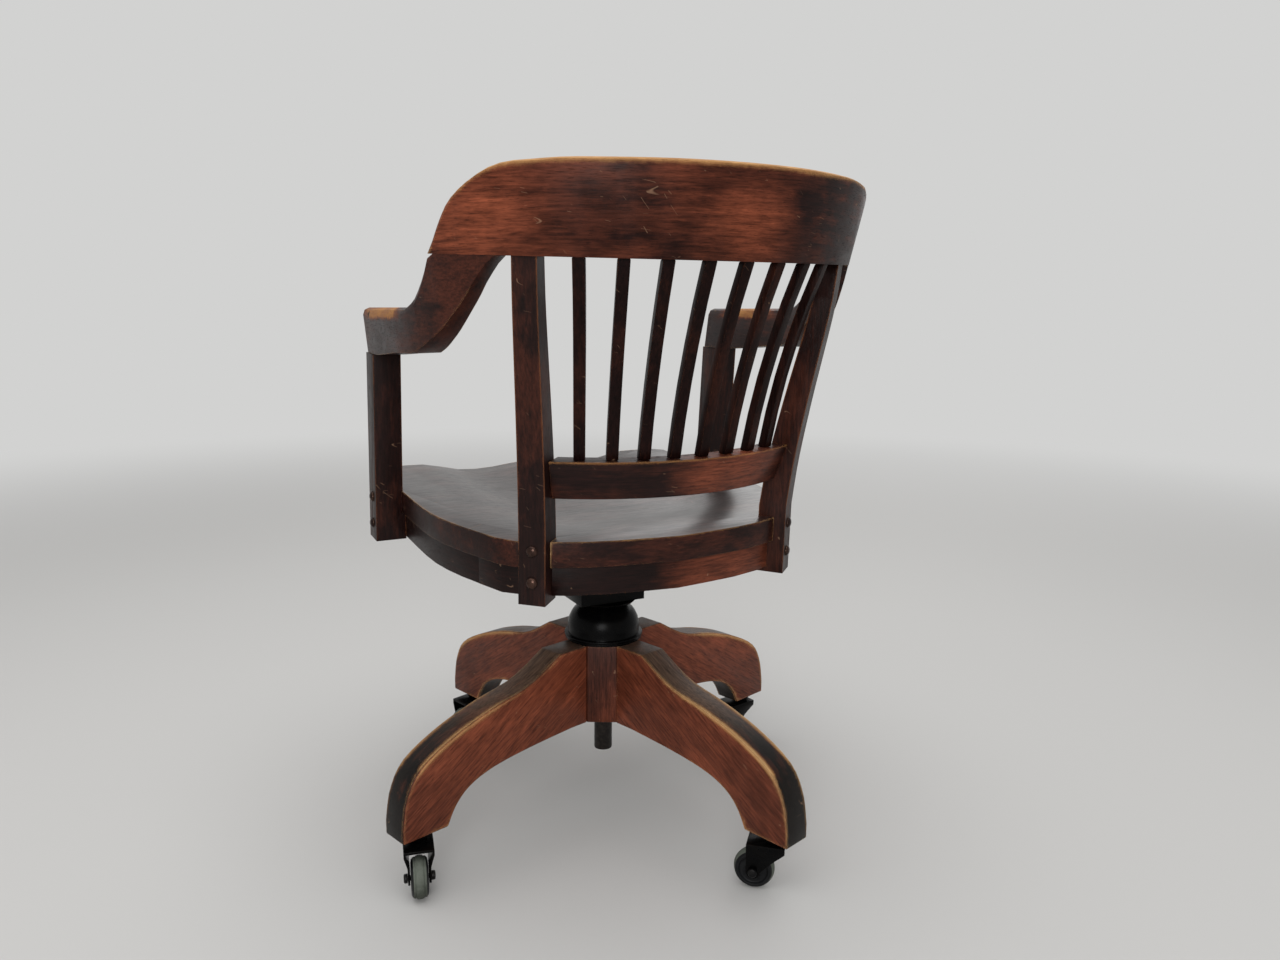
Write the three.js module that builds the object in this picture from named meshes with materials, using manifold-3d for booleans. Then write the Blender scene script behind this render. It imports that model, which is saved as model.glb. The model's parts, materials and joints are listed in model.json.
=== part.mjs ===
// Bankers swivel chair: saddled wood seat with arms and a slatted back,
// tilt iron, screw column, four legged base.
// Millimetres. Z is up, -Y is the sitter's front, +X the sitter's left, and the column stands on the Z axis.
import * as THREE from "three";
import * as BufferGeometryUtils from "three/addons/utils/BufferGeometryUtils.js";
import Module from "manifold-3d";

const wasm = await Module();
wasm.setup();

// Fits that all pieces share
const gap = 0.3;
const overrun = 8;

// Base
const hubAcross = 95;
const hubTop = 245.5;
const hubBottom = 136.5;
const hubSides = 8;
const legCount = 4;
const legReach = 337;
const legThickness = 39;
const legTurn = 17.745;
const footHeight = 72;
const footLength = 63;

// Casters
const wheelDiameter = 50;
const wheelWidth = 19;
const wheelClearance = 1;
const wheelSides = 24;
const treadShoulderShare = 0.7;
const treadFlatShare = 0.3;
const casterTrail = 24;
const casterTurns = [78, -42, 10, 20];
const stemDiameter = 9;
const stemDepth = 38;
const raceDiameter = 27;
const raceHeight = 9;
const raceBevelShare = 0.33;
const forkWidth = 36;
const forkPlate = 2.6;
const forkCrown = 3.4;
const forkShoulderShare = 0.12;
const forkWaistShare = 0.55;
const axleDiameter = 6;
const axleHead = 11;
const axleHeadHeight = 4.6;

// Column
const spindleDiameter = 20.4;
const spindleBottom = 86;
const sleeveWall = 2;
const sleeveBottom = 80;
const washerDiameter = 106;
const washerHeight = 2.6;
const nutFlange = 108;
const nutFlangeHeight = 4;
const nutBall = 99;
const nutHeight = 46;
const nutNeck = 40;

// Tilt iron. Heights climb from the nut: yoke, pivot pin, seat.
const pivotRise = 75.5;
const pinDiameter = 12;
const yokeRise = 1.8;
const yokeLength = 94;
const yokeWidth = 62;
const yokeBoss = 84;
const yokeBossHeight = 4;
const yokeBlock = 18;
const yokeLug = 52;
const yokeEye = 28;
const yokeCrown = 10;
const yokeArm = 36;
const yokeArmHeight = 10;
const yokeArmEnd = 15;
const knobClearance = 12;
const cheekThickness = 7.4;
const ironPlate = 6;
const ironLength = 180;
const ironWidth = 150;
const lugThickness = 6;
const rodDiameter = 8;
const rodEye = 16;
const rodDrop = 87;
const rodEnd = 4;
const knobDiameter = 34;
const knobHeight = 17;
const knobCollar = 26;
const knobCollarHeight = 2.4;
const springDiameter = 22.4;
const springWire = 3.4;
const springCurls = 6;

// Seat
const seatTilt = 2;
const seatSetForward = 2.4;
const seatSetLeft = 13;
const seatRise = 46.7;
const seatThickness = 30;
const seatHalfWidth = 237;
const seatBack = 237;
const seatFront = 260;
const seatCorner = 12;
const dishDepth = 13;
const dishSideRim = 65;
const dishBackRim = 61;
const dishFlatShare = 0.55;
const dishSquareness = 4;
const pommelHeight = 8;
const pommelWidth = 46;
const pommelFromShare = 0.1;
const pommelToShare = 0.95;
const apronHeight = 34;
const apronThickness = 22;
const apronInset = 6;

// Posts. Their places on the seat are shares of its half width and of its back.
const backRise = 306.3;
const backPostAcrossShare = 0.7667;
const backPostBehindShare = 0.822;
const backPostTurn = 42;
const backPostWidth = 31.5;
const backPostDepth = 34;
const backPostTopWidth = 27;
const backPostTopDepth = 22;
const backPostTail = 40.7;
const backPostStraight = 13.3;
const backPostSweepTurn = 29;
const backPostRecess = 5.2;
const frontPostProud = 34;
const frontPostY = -100;
const frontPostWidth = 35.5;
const frontPostDepth = 37;
const frontPostTail = 36.7;
const frontPostSweep = 11;
const boltHead = 14;
const boltHeadHeight = 4;
const boltShank = 7;
const boltBite = 14;
const boltBelow = 15;
const boltAbove = 21.3;

// Bow of the back: crest rail and arms follow one leaning circle
const crestBehind = 88;
const bowLean = 0.2;
const crestHeight = 93;
const crestThickness = 25;
const crestRound = 6;
const armBend = 78;
const armProud = 6;
const armFrontY = -118;
const armRise = 151;
const armDip = 10;
const armFrontHeight = 57;
const armWidth = 37;
const armRound = 9;
const armLean = 0.1;
const armUnderShare = 0.1;
const armThinTurn = 10;
const roundShare = 0.4;

// Slats and lower rail
const slatWidth = 12.8;
const slatThickness = 10.5;
const slatHeadRecess = 7.3;
const slatFootRecess = 9;
const slatBow = 7;
const slatsPerSide = 4;
const slatFootShare = 0.1135;
const slatHeadShare = 0.1075;
const railRise = 92.3;
const railHeight = 44;
const railThickness = 30;
const railLean = 0.33;
const railBehind = 21;
const railRecess = 12;

// Fineness of round stretches
const roundSides = 28;
const smallSides = 14;
const arcSteps = 7;
const legCurveSteps = 3;
const bowSteps = 28;
const armStraightSteps = 4;
const armSteps = 16;
const railSteps = 12;
const slatSteps = 5;
const seatRings = 7;
const seatRimPoints = 64;
const postSteps = 3;

// Colours
const darkWood = new THREE.MeshStandardMaterial({ color: 0x2a1310, roughness: 0.36, metalness: 0 });
const redWood = new THREE.MeshStandardMaterial({ color: 0x451d13, roughness: 0.4, metalness: 0 });
const blackIron = new THREE.MeshStandardMaterial({ color: 0x0b0b0c, roughness: 0.42, metalness: 0.6 });
const darkSteel = new THREE.MeshStandardMaterial({ color: 0x2a2a2c, roughness: 0.38, metalness: 0.9 });
const bronze = new THREE.MeshStandardMaterial({ color: 0x3b2820, roughness: 0.35, metalness: 0.9 });
const rubber = new THREE.MeshStandardMaterial({ color: 0x2b2c2b, roughness: 0.7, metalness: 0 });

// Small sums
const radians = THREE.MathUtils.degToRad;
const lerp = THREE.MathUtils.lerp;
const smooth = THREE.MathUtils.smoothstep;
const hubApothem = hubAcross / 2;
const wheelRadius = wheelDiameter / 2;
const wheelCentre = wheelRadius * Math.cos(Math.PI / wheelSides);
const stemReach = legReach - footLength / 2;

// Solids from geometries, and back
function toSolid(geometry) {
  const bare = geometry.clone();
  bare.deleteAttribute("normal");
  bare.deleteAttribute("uv");
  const merged = BufferGeometryUtils.mergeVertices(bare);
  const vertProperties = merged.attributes.position.array;
  const triVerts = Uint32Array.from(merged.index.array);
  return new wasm.Manifold(new wasm.Mesh({ numProp: 3, vertProperties, triVerts }));
}

function toGeometry(solid) {
  const result = solid.getMesh();
  const geometry = new THREE.BufferGeometry();
  geometry.setAttribute("position", new THREE.BufferAttribute(result.vertProperties, 3));
  geometry.setIndex(new THREE.BufferAttribute(result.triVerts, 1));
  geometry.computeVertexNormals();
  return geometry;
}

function cut(body, ...tools) {
  return toGeometry(tools.reduce((left, tool) => left.subtract(toSolid(tool)), toSolid(body)));
}

function join(first, ...others) {
  return toGeometry(others.reduce((left, other) => left.add(toSolid(other)), toSolid(first)));
}

function common(first, second) {
  return toGeometry(toSolid(first).intersect(toSolid(second)));
}

// Turns a closed skin's faces outward
function facingOut(geometry) {
  const points = geometry.attributes.position;
  const triangles = [...geometry.index.array];
  let volume = 0;
  const corners = [new THREE.Vector3(), new THREE.Vector3(), new THREE.Vector3()];
  for (let at = 0; at < triangles.length; at += corners.length) {
    corners.forEach((corner, number) => corner.fromBufferAttribute(points, triangles[at + number]));
    volume += corners[0].dot(corners[1].cross(corners[2]));
  }
  geometry.setIndex(volume < 0 ? triangles.reverse() : triangles);
  geometry.computeVertexNormals();
  return geometry;
}

function fromTriangles(points, triangles) {
  const geometry = new THREE.BufferGeometry();
  const positions = points.flatMap((point) => point.toArray());
  geometry.setAttribute("position", new THREE.Float32BufferAttribute(positions, 3));
  geometry.setIndex(triangles);
  return facingOut(geometry);
}

// A closed skin over rings of points that match, with a flat end on the first ring and on the last
function loft(rings) {
  const sides = rings[0].length;
  const lastRing = (rings.length - 1) * sides;
  const triangles = [];
  for (let ring = 0; ring < rings.length - 1; ring += 1) {
    for (let side = 0; side < sides; side += 1) {
      const here = ring * sides + side;
      const next = ring * sides + ((side + 1) % sides);
      triangles.push(here, next, next + sides);
      triangles.push(here, next + sides, here + sides);
    }
  }
  for (let side = 1; side < sides - 1; side += 1) {
    triangles.push(0, side + 1, side);
    triangles.push(lastRing, lastRing + side, lastRing + side + 1);
  }
  return fromTriangles(rings.flat(), triangles);
}

function mirrored(geometry) {
  const flipped = geometry.clone();
  const indexed = flipped.index ? flipped : BufferGeometryUtils.mergeVertices(flipped);
  return facingOut(indexed.scale(-1, 1, 1));
}

function sided(geometry, side) {
  return side < 0 ? mirrored(geometry) : geometry;
}

function block(width, depth, height, x, y, bottom) {
  return new THREE.BoxGeometry(width, depth, height).translate(x, y, bottom + height / 2);
}

// A solid of revolution about Z through pairs of radius and height
function turned(profile, sides = roundSides) {
  const points = profile.map(([radius, height]) => new THREE.Vector2(radius, height));
  return facingOut(new THREE.LatheGeometry(points, sides).rotateX(Math.PI / 2));
}

function rod(diameter, bottom, top, sides = smallSides) {
  return turned([[0, bottom], [diameter / 2, bottom], [diameter / 2, top], [0, top]], sides);
}

// A rod along X, centred
function crossRod(diameter, length, y, z) {
  return rod(diameter, -length / 2, length / 2).rotateY(Math.PI / 2).translate(0, y, z);
}

// A plate cut to an outline in Y and Z, with its thickness along X
function sidePlate(shape, thickness, x, steps = arcSteps) {
  const settings = { depth: thickness, bevelEnabled: false, curveSegments: steps };
  const plate = new THREE.ExtrudeGeometry(shape, settings);
  return plate.rotateX(Math.PI / 2).rotateZ(Math.PI / 2).translate(x, 0, 0);
}

function add(parent, name, geometry, material) {
  const mesh = new THREE.Mesh(geometry, material);
  mesh.name = name;
  parent.add(mesh);
  return mesh;
}

// Base: hub, legs and their casters
function octagon(apothem, bottom, top) {
  const corner = apothem / Math.cos(Math.PI / hubSides);
  const prism = new THREE.CylinderGeometry(corner, corner, top - bottom, hubSides);
  return prism.rotateX(Math.PI / 2).rotateZ(Math.PI / hubSides).translate(0, 0, (top + bottom) / 2);
}

const sleeveBore = spindleDiameter + 2 * gap;
const sleeveDiameter = sleeveBore + 2 * sleeveWall;

function hubShape() {
  const bore = rod(sleeveDiameter + 2 * gap, hubBottom - overrun, hubTop + overrun, roundSides);
  return cut(octagon(hubApothem, hubBottom, hubTop), bore);
}

// Leg outline, as shares of its run from hub to toe and of its rise from foot to hub top
const legTopShares = [
  [0.163, 1], [0.34, 0.839], [0.544, 0.758], [0.741, 0.651], [0.907, 0.501], [0.976, 0.317], [1, 0.104],
];
const legUnderShares = [
  [0.781, 0], [0.737, 0.133], [0.665, 0.236], [0.544, 0.305], [0.347, 0.346], [0.098, 0.372],
];

function legShape() {
  const root = hubApothem + gap;
  const run = legReach - root;
  const rise = hubTop - footHeight;
  const place = ([along, up]) => new THREE.Vector2(root + along * run, footHeight + up * rise);
  const outline = new THREE.Shape();
  outline.moveTo(root, hubBottom);
  outline.lineTo(root, hubTop);
  outline.lineTo(...place(legTopShares[0]).toArray());
  outline.splineThru(legTopShares.slice(1).map(place));
  outline.lineTo(legReach, footHeight);
  outline.lineTo(...place(legUnderShares[0]).toArray());
  outline.splineThru(legUnderShares.slice(1).map(place));
  outline.closePath();
  const settings = { depth: legThickness, bevelEnabled: false, curveSegments: legCurveSteps };
  const standing = new THREE.ExtrudeGeometry(outline, settings).rotateX(Math.PI / 2);
  const leg = standing.translate(0, legThickness / 2, 0);
  const socket = rod(stemDiameter + 2 * gap, footHeight - overrun, footHeight + stemDepth + gap);
  return cut(leg, socket.translate(stemReach, 0, 0));
}

const raceTop = footHeight - gap;
const crownTop = raceTop - raceHeight - gap;
const crownBottom = crownTop - forkCrown;

// Stem with its ball race above the fork and the riveted head below the crown
function stemShape() {
  const radius = stemDiameter / 2;
  const rivet = radius + 2 * gap + forkPlate;
  const raceRadius = raceDiameter / 2;
  const waist = raceRadius - forkPlate;
  return turned([
    [0, crownBottom - gap - forkPlate],
    [rivet, crownBottom - gap - forkPlate],
    [rivet, crownBottom - gap],
    [radius, crownBottom - gap],
    [radius, crownTop + gap],
    [waist, crownTop + gap],
    [raceRadius, crownTop + raceHeight * raceBevelShare],
    [raceRadius, raceTop - raceHeight * raceBevelShare],
    [waist, raceTop],
    [radius, raceTop],
    [radius, footHeight + stemDepth],
    [0, footHeight + stemDepth],
  ], smallSides);
}

const forkFoot = wheelWidth + 2 * (wheelClearance + forkPlate + 2 * gap);

// Fork: its front view and its side view, cut from one block. The wheel trails along +X.
function forkShape() {
  const top = forkWidth / 2;
  const foot = forkFoot / 2;
  const shoulder = lerp(crownBottom, wheelCentre, forkShoulderShare);
  const waist = lerp(crownBottom, wheelCentre, forkWaistShare);
  const toe = wheelCentre - axleDiameter - forkPlate;
  const half = [[top, crownTop], [top, shoulder], [foot, waist], [foot, toe - overrun]];
  const inner = [[foot - forkPlate, toe - overrun], [foot - forkPlate, waist], [top - forkPlate, shoulder]];
  const right = [...half, ...inner, [top - forkPlate, crownBottom]];
  const left = right.map(([across, height]) => [-across, height]).reverse();
  const corners = [...right, ...left].map(([across, height]) => new THREE.Vector2(across, height));
  const front = new THREE.Shape(corners);
  const depth = raceDiameter + 2 * casterTrail;
  const folded = sidePlate(front, depth, -raceDiameter);
  const side = new THREE.Shape();
  const eye = axleDiameter + forkPlate;
  side.moveTo(-raceDiameter / 2 - gap, crownTop + overrun);
  side.lineTo(-raceDiameter / 2 - gap, shoulder);
  side.lineTo(casterTrail - eye, wheelCentre);
  side.absarc(casterTrail, wheelCentre, eye, Math.PI, 2 * Math.PI, false);
  side.lineTo(casterTrail + eye, crownTop + overrun);
  side.closePath();
  const settings = { depth: 2 * forkWidth, bevelEnabled: false, curveSegments: arcSteps };
  const profile = new THREE.ExtrudeGeometry(side, settings).rotateX(Math.PI / 2).translate(0, forkWidth, 0);
  const pin = rod(stemDiameter + 2 * gap, crownBottom - overrun, crownTop + overrun);
  const axle = rod(axleDiameter + 2 * gap, -forkWidth, forkWidth).rotateX(Math.PI / 2);
  return cut(common(folded, profile), pin, axle.translate(casterTrail, 0, wheelCentre));
}

// Wheel about Z: hub, sunk web, rounded tyre
function wheelShape() {
  const half = wheelWidth / 2;
  const bore = axleDiameter / 2 + gap;
  const hub = bore + 2 * forkPlate;
  const rim = wheelRadius - 2 * forkPlate;
  const web = half - forkPlate;
  const proud = half + wheelClearance - gap;
  const side = [[bore, proud], [hub, proud], [hub + gap, web], [rim - gap, web], [rim, half]];
  const shoulder = [wheelRadius - gap, half * treadShoulderShare];
  const tread = [[wheelRadius - forkPlate, half], shoulder, [wheelRadius, half * treadFlatShare]];
  const upper = [...side, ...tread];
  const lower = upper.map(([radius, height]) => [radius, -height]).reverse();
  const wheel = turned([...upper, ...lower, upper[0]], wheelSides);
  return wheel.rotateZ(Math.PI / wheelSides);
}

function axleShape() {
  const half = forkFoot / 2 + gap;
  const end = half + axleHeadHeight;
  const radius = axleDiameter / 2;
  const head = axleHead / 2;
  const edge = head - axleHeadHeight / 4;
  const crown = end - axleHeadHeight / 4;
  return turned([
    [0, -end], [edge, -end], [head, -crown], [head, -half], [radius, -half],
    [radius, half], [head, half], [head, crown], [edge, end], [0, end],
  ], smallSides);
}

function buildBase(chair) {
  add(chair, "hub", hubShape().rotateZ(radians(legTurn)), redWood);
  for (let count = 0; count < legCount; count += 1) {
    const turn = radians(legTurn + (count * 360) / legCount);
    const number = count + 1;
    const arm = new THREE.Group();
    arm.rotation.z = turn;
    chair.add(arm);
    add(arm, `leg_${number}`, legShape(), redWood);
    const caster = new THREE.Group();
    caster.position.x = stemReach;
    caster.rotation.z = radians(casterTurns[count]) - turn;
    arm.add(caster);
    add(caster, `caster_stem_${number}`, stemShape(), blackIron);
    add(caster, `caster_fork_${number}`, forkShape(), blackIron);
    const axis = new THREE.Group();
    axis.position.set(casterTrail, 0, wheelCentre);
    axis.rotation.x = Math.PI / 2;
    caster.add(axis);
    add(axis, `caster_axle_${number}`, axleShape(), blackIron);
    add(axis, `caster_wheel_${number}`, wheelShape(), rubber);
  }
}

// Column: sleeve in the hub, washer, domed nut and screw spindle
const washerBottom = hubTop + gap;
const nutBottom = washerBottom + washerHeight + gap;
const nutTop = nutBottom + nutHeight;
const yokeBottom = nutTop + yokeRise;
const pivotHeight = yokeBottom + pivotRise;
const seatUnder = pivotHeight + seatRise;
const seatTop = seatUnder + seatThickness;
const socketTop = pivotHeight - yokeEye / 2 - yokeCrown;

function sleeveShape() {
  const outer = sleeveDiameter / 2;
  const inner = sleeveBore / 2;
  return turned([
    [inner, sleeveBottom], [outer, sleeveBottom], [outer, hubTop], [inner, hubTop], [inner, sleeveBottom],
  ]);
}

function washerShape() {
  const outer = washerDiameter / 2;
  const inner = sleeveBore / 2;
  const top = washerBottom + washerHeight;
  return turned([
    [inner, washerBottom], [outer, washerBottom], [outer, top], [inner, top], [inner, washerBottom],
  ]);
}

// The dome is a quarter ellipse that springs from the widest ring and ends on the flat neck
function nutShape() {
  const inner = spindleDiameter / 2 + gap;
  const flange = nutFlange / 2;
  const ball = nutBall / 2;
  const neck = nutNeck / 2;
  const ledge = nutBottom + nutFlangeHeight;
  const widest = ledge + 2 * nutFlangeHeight;
  const dome = [];
  const steps = 8;
  for (let step = 0; step <= steps; step += 1) {
    const turn = (step / steps) * (Math.PI / 2);
    dome.push([neck + (ball - neck) * Math.cos(turn), widest + (nutTop - widest) * Math.sin(turn)]);
  }
  const foot = [[inner, nutBottom], [flange, nutBottom], [flange, ledge], [ball - gap, ledge]];
  return turned([...foot, ...dome, [inner, nutTop], [inner, nutBottom]]);
}

function buildColumn(chair) {
  add(chair, "column_sleeve", sleeveShape(), darkSteel);
  add(chair, "thrust_washer", washerShape(), blackIron);
  add(chair, "adjusting_nut", nutShape(), blackIron);
  add(chair, "screw_spindle", rod(spindleDiameter, spindleBottom, socketTop - gap, roundSides), darkSteel);
}

// Tilt iron
const leverLength = yokeBoss / 2 + yokeBossHeight + knobClearance + knobDiameter / 2;
const rodBottom = pivotHeight - rodDrop;
const knobBottom = rodBottom + rodEnd;
const armTop = pivotHeight - yokeEye / 2 + gap;
const armBottom = armTop - yokeArmHeight;
const rodY = -leverLength * Math.cos(radians(seatTilt));
const rodZ = pivotHeight + leverLength * Math.sin(radians(seatTilt));

function eyeOutline(bottom, halfBase, radius) {
  const outline = new THREE.Shape();
  outline.moveTo(-halfBase, bottom);
  outline.lineTo(halfBase, bottom);
  outline.lineTo(radius, 0);
  outline.absarc(0, 0, radius, 0, Math.PI, false);
  outline.closePath();
  return outline;
}

function yokeShape() {
  const bossTop = yokeBottom + yokeBossHeight;
  const blockTop = bossTop + yokeBlock;
  const reach = leverLength + yokeArmEnd;
  const rim = yokeBoss / 2;
  const bossRim = rim + yokeBossHeight;
  const boss = turned([[0, yokeBottom], [rim, yokeBottom], [bossRim, bossTop], [0, bossTop + gap]]);
  const slab = block(yokeLength, yokeWidth, yokeBlock, 0, 0, bossTop - gap);
  const neckOutline = eyeOutline(bossTop - pivotHeight, yokeWidth / 2 - gap, yokeEye / 2);
  const neck = sidePlate(neckOutline, yokeLug, -yokeLug / 2).translate(0, 0, pivotHeight);
  const arm = block(yokeArm, reach, yokeArmHeight, 0, -reach / 2, armBottom);
  const rib = new THREE.Shape();
  rib.moveTo(0, blockTop);
  rib.lineTo(0, armBottom + gap);
  rib.lineTo(springDiameter / 2 + yokeCrown - leverLength, armBottom + gap);
  rib.lineTo(-yokeWidth / 2 + yokeCrown, blockTop);
  rib.closePath();
  const web = sidePlate(rib, yokeCrown, -yokeCrown / 2);
  const socket = rod(spindleDiameter + 2 * gap, yokeBottom - overrun, socketTop, roundSides);
  const pinBore = crossRod(pinDiameter + 2 * gap, yokeLength, 0, pivotHeight);
  const slotWidth = rodDiameter + 4 * gap;
  const slotLength = rodDiameter + yokeArmHeight / 2;
  const slotMiddle = -leverLength + slotLength / 2 - slotWidth / 2;
  const slot = block(slotWidth, slotLength, 3 * yokeArmHeight, 0, slotMiddle, armBottom - yokeArmHeight);
  return cut(join(boss, slab, neck, arm, web), socket, pinBore, slot);
}

// Seat iron, about the pivot pin: plate under the seat, two cheeks on the pin, two lugs for the rod
const plateTop = seatUnder - pivotHeight - gap;
const plateBottom = plateTop - ironPlate;
const cheekInside = yokeLug / 2 + 2 * gap;

function hangingEye(halfBase, radius, thickness, x, y) {
  const outline = eyeOutline(-plateBottom - gap, halfBase, radius);
  const plate = sidePlate(outline, thickness, 0).rotateX(Math.PI);
  return plate.translate(x, y, 0);
}

function seatIronShape() {
  const centreY = -ironLength / 2 + ironWidth / 2;
  const plate = block(ironWidth, ironLength, ironPlate, 0, centreY, plateBottom);
  const cheekBase = yokeWidth / 2 + yokeCrown;
  const lugInside = rodEye / 2 + gap;
  const lugRadius = rodDiameter / 2 + ironPlate;
  const eyes = [];
  for (const side of [-1, 1]) {
    const cheekX = side < 0 ? -cheekInside - cheekThickness : cheekInside;
    const lugX = side < 0 ? -lugInside - lugThickness : lugInside;
    eyes.push(hangingEye(cheekBase, yokeEye / 2, cheekThickness, cheekX, 0));
    eyes.push(hangingEye(lugRadius + ironPlate, lugRadius, lugThickness, lugX, -leverLength));
  }
  const pinBore = crossRod(pinDiameter + 2 * gap, ironWidth, 0, 0);
  const rodBore = crossRod(rodDiameter + 2 * gap, ironWidth / 2, -leverLength, 0);
  return cut(join(plate, ...eyes), pinBore, rodBore);
}

function pivotPinShape() {
  const half = cheekInside + cheekThickness + gap;
  const head = pinDiameter / 2 + ironPlate / 2;
  const end = half + ironPlate;
  const radius = pinDiameter / 2;
  const profile = [[0, -end], [head, -end], [head, -half], [radius, -half], [radius, end], [0, end]];
  return turned(profile, smallSides).rotateY(Math.PI / 2);
}

function tensionRodShape() {
  const trunnion = 2 * (rodEye / 2 + 2 * gap + lugThickness) + rodDiameter;
  const eye = crossRod(rodEye, rodEye, 0, 0);
  return join(eye, crossRod(rodDiameter, trunnion, 0, 0), rod(rodDiameter, rodBottom - rodZ, 0));
}

const knobTop = knobBottom + knobHeight + knobCollarHeight;

function knobShape() {
  const bore = rodDiameter / 2 + gap;
  const outer = knobDiameter / 2;
  const collar = knobCollar / 2;
  const round = knobCollarHeight;
  const shoulder = knobBottom + knobHeight;
  return turned([
    [bore, knobBottom], [outer - round, knobBottom], [outer, knobBottom + round], [outer, shoulder - round],
    [outer - round, shoulder], [collar, shoulder], [collar, knobTop], [bore, knobTop], [bore, knobBottom],
  ], 2 * smallSides);
}

// Spring: one tube wound about the rod, with eight steps a curl and five sides
function springShape() {
  const stepsPerCurl = 8;
  const wireSides = 5;
  const wire = springWire / 2;
  const mean = springDiameter / 2 - wire;
  const bottom = knobTop + gap + wire;
  const top = armBottom - gap - wire;
  const steps = springCurls * stepsPerCurl;
  const climb = (top - bottom) / steps;
  const pitchTurn = Math.atan2(climb, mean * 2 * Math.sin(Math.PI / stepsPerCurl));
  const rings = [];
  for (let step = 0; step <= steps; step += 1) {
    const turn = (step / stepsPerCurl) * 2 * Math.PI;
    const out = new THREE.Vector3(Math.cos(turn), Math.sin(turn), 0);
    const along = new THREE.Vector3(-Math.sin(turn), Math.cos(turn), Math.tan(pitchTurn)).normalize();
    const over = new THREE.Vector3().crossVectors(out, along);
    const centre = out.clone().multiplyScalar(mean).setZ(bottom + step * climb);
    const ring = [];
    for (let side = 0; side < wireSides; side += 1) {
      const roll = (side / wireSides) * 2 * Math.PI;
      const point = centre.clone().addScaledVector(out, wire * Math.cos(roll));
      ring.push(point.addScaledVector(over, wire * Math.sin(roll)));
    }
    rings.push(ring);
  }
  console.log("least gap between curls of the spring", leastCurlGap(rings, stepsPerCurl).toFixed(2));
  return loft(rings);
}

function leastCurlGap(rings, stepsPerCurl) {
  let least = Infinity;
  for (let ring = 0; ring < rings.length; ring += 1) {
    for (let other = ring + Math.floor(stepsPerCurl / 2); other < rings.length; other += 1) {
      for (const point of rings[ring]) {
        for (const far of rings[other]) {
          least = Math.min(least, point.distanceTo(far));
        }
      }
    }
  }
  return least;
}

function buildTiltIron(chair, seat) {
  add(chair, "tilt_yoke", yokeShape(), blackIron);
  add(seat, "seat_iron", seatIronShape(), blackIron);
  add(seat, "pivot_pin", pivotPinShape(), darkSteel);
  const lever = new THREE.Group();
  lever.position.set(0, rodY, 0);
  chair.add(lever);
  add(lever, "tension_rod", tensionRodShape().translate(0, 0, rodZ), darkSteel);
  add(lever, "tension_knob", knobShape(), blackIron);
  add(lever, "tension_spring", springShape(), darkSteel);
}

// Seat outline, half of it from the middle of the back to the middle of the front.
// Shares are of the half width and of the distance from the column to the back edge.
const backOutlineShares = [
  [0.215, 0.975], [0.415, 0.942], [0.61, 0.876], [0.773, 0.788], [0.834, 0.7], [0.879, 0.567], [0.929, 0.422],
  [0.975, 0.236], [0.992, 0.11], [1, -0.05],
];
const seatEdge = new THREE.Path();
seatEdge.moveTo(0, seatBack);
seatEdge.splineThru(backOutlineShares.map(([x, y]) => new THREE.Vector2(x * seatHalfWidth, y * seatBack)));
seatEdge.lineTo(seatHalfWidth, -seatFront + seatCorner);
seatEdge.absarc(seatHalfWidth - seatCorner, -seatFront + seatCorner, seatCorner, 0, -Math.PI / 2, true);
seatEdge.lineTo(0, -seatFront);

// A place on the seat's edge, moved inward by an inset. Signed shares run to both sides of the middle.
function edgePlace(share, inset) {
  const point = seatEdge.getPoint(Math.abs(share));
  const tangent = seatEdge.getTangent(Math.abs(share));
  const place = new THREE.Vector2(point.x + tangent.y * inset, point.y - tangent.x * inset);
  return share < 0 ? new THREE.Vector2(-place.x, place.y) : place;
}

// The saddle: a dish with steep sides that runs out at the front, with a pommel between the thighs
function dishAt(x, y) {
  const sideways = Math.abs(x) / (seatHalfWidth - dishSideRim);
  const backward = Math.max(y, 0) / (seatBack - dishBackRim);
  const power = dishSquareness;
  const reach = Math.pow(Math.pow(sideways, power) + Math.pow(backward, power), 1 / power);
  const bowl = 1 - smooth(reach, dishFlatShare, 1);
  const forward = smooth(-y, pommelFromShare * seatFront, pommelToShare * seatFront);
  const ridge = Math.exp(-Math.pow(x / pommelWidth, 2));
  return bowl * (dishDepth - pommelHeight * ridge * forward);
}

function seatBlank() {
  const points = [];
  const triangles = [];
  const centreY = (seatBack - seatFront) / 2;
  const rim = [];
  for (let step = 0; step < seatRimPoints; step += 1) {
    const share = (2 * step) / seatRimPoints;
    rim.push(edgePlace(share <= 1 ? share : share - 2, 0));
  }
  points.push(new THREE.Vector3(0, centreY, seatTop - dishAt(0, centreY)));
  for (let ring = 1; ring <= seatRings; ring += 1) {
    const share = ring / seatRings;
    for (const edge of rim) {
      const x = edge.x * share;
      const y = lerp(centreY, edge.y, share);
      points.push(new THREE.Vector3(x, y, seatTop - dishAt(x, y)));
    }
  }
  const bottomStart = points.length;
  for (const edge of rim) {
    points.push(new THREE.Vector3(edge.x, edge.y, seatUnder));
  }
  const bottomCentre = points.length;
  points.push(new THREE.Vector3(0, centreY, seatUnder));
  for (let step = 0; step < seatRimPoints; step += 1) {
    const next = (step + 1) % seatRimPoints;
    triangles.push(0, 1 + next, 1 + step);
    for (let ring = 0; ring < seatRings; ring += 1) {
      const here = 1 + ring * seatRimPoints;
      triangles.push(here + step, here + next, here + next + seatRimPoints);
      triangles.push(here + step, here + next + seatRimPoints, here + step + seatRimPoints);
    }
    triangles.push(bottomCentre, bottomStart + step, bottomStart + next);
  }
  return fromTriangles(points, triangles);
}

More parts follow.
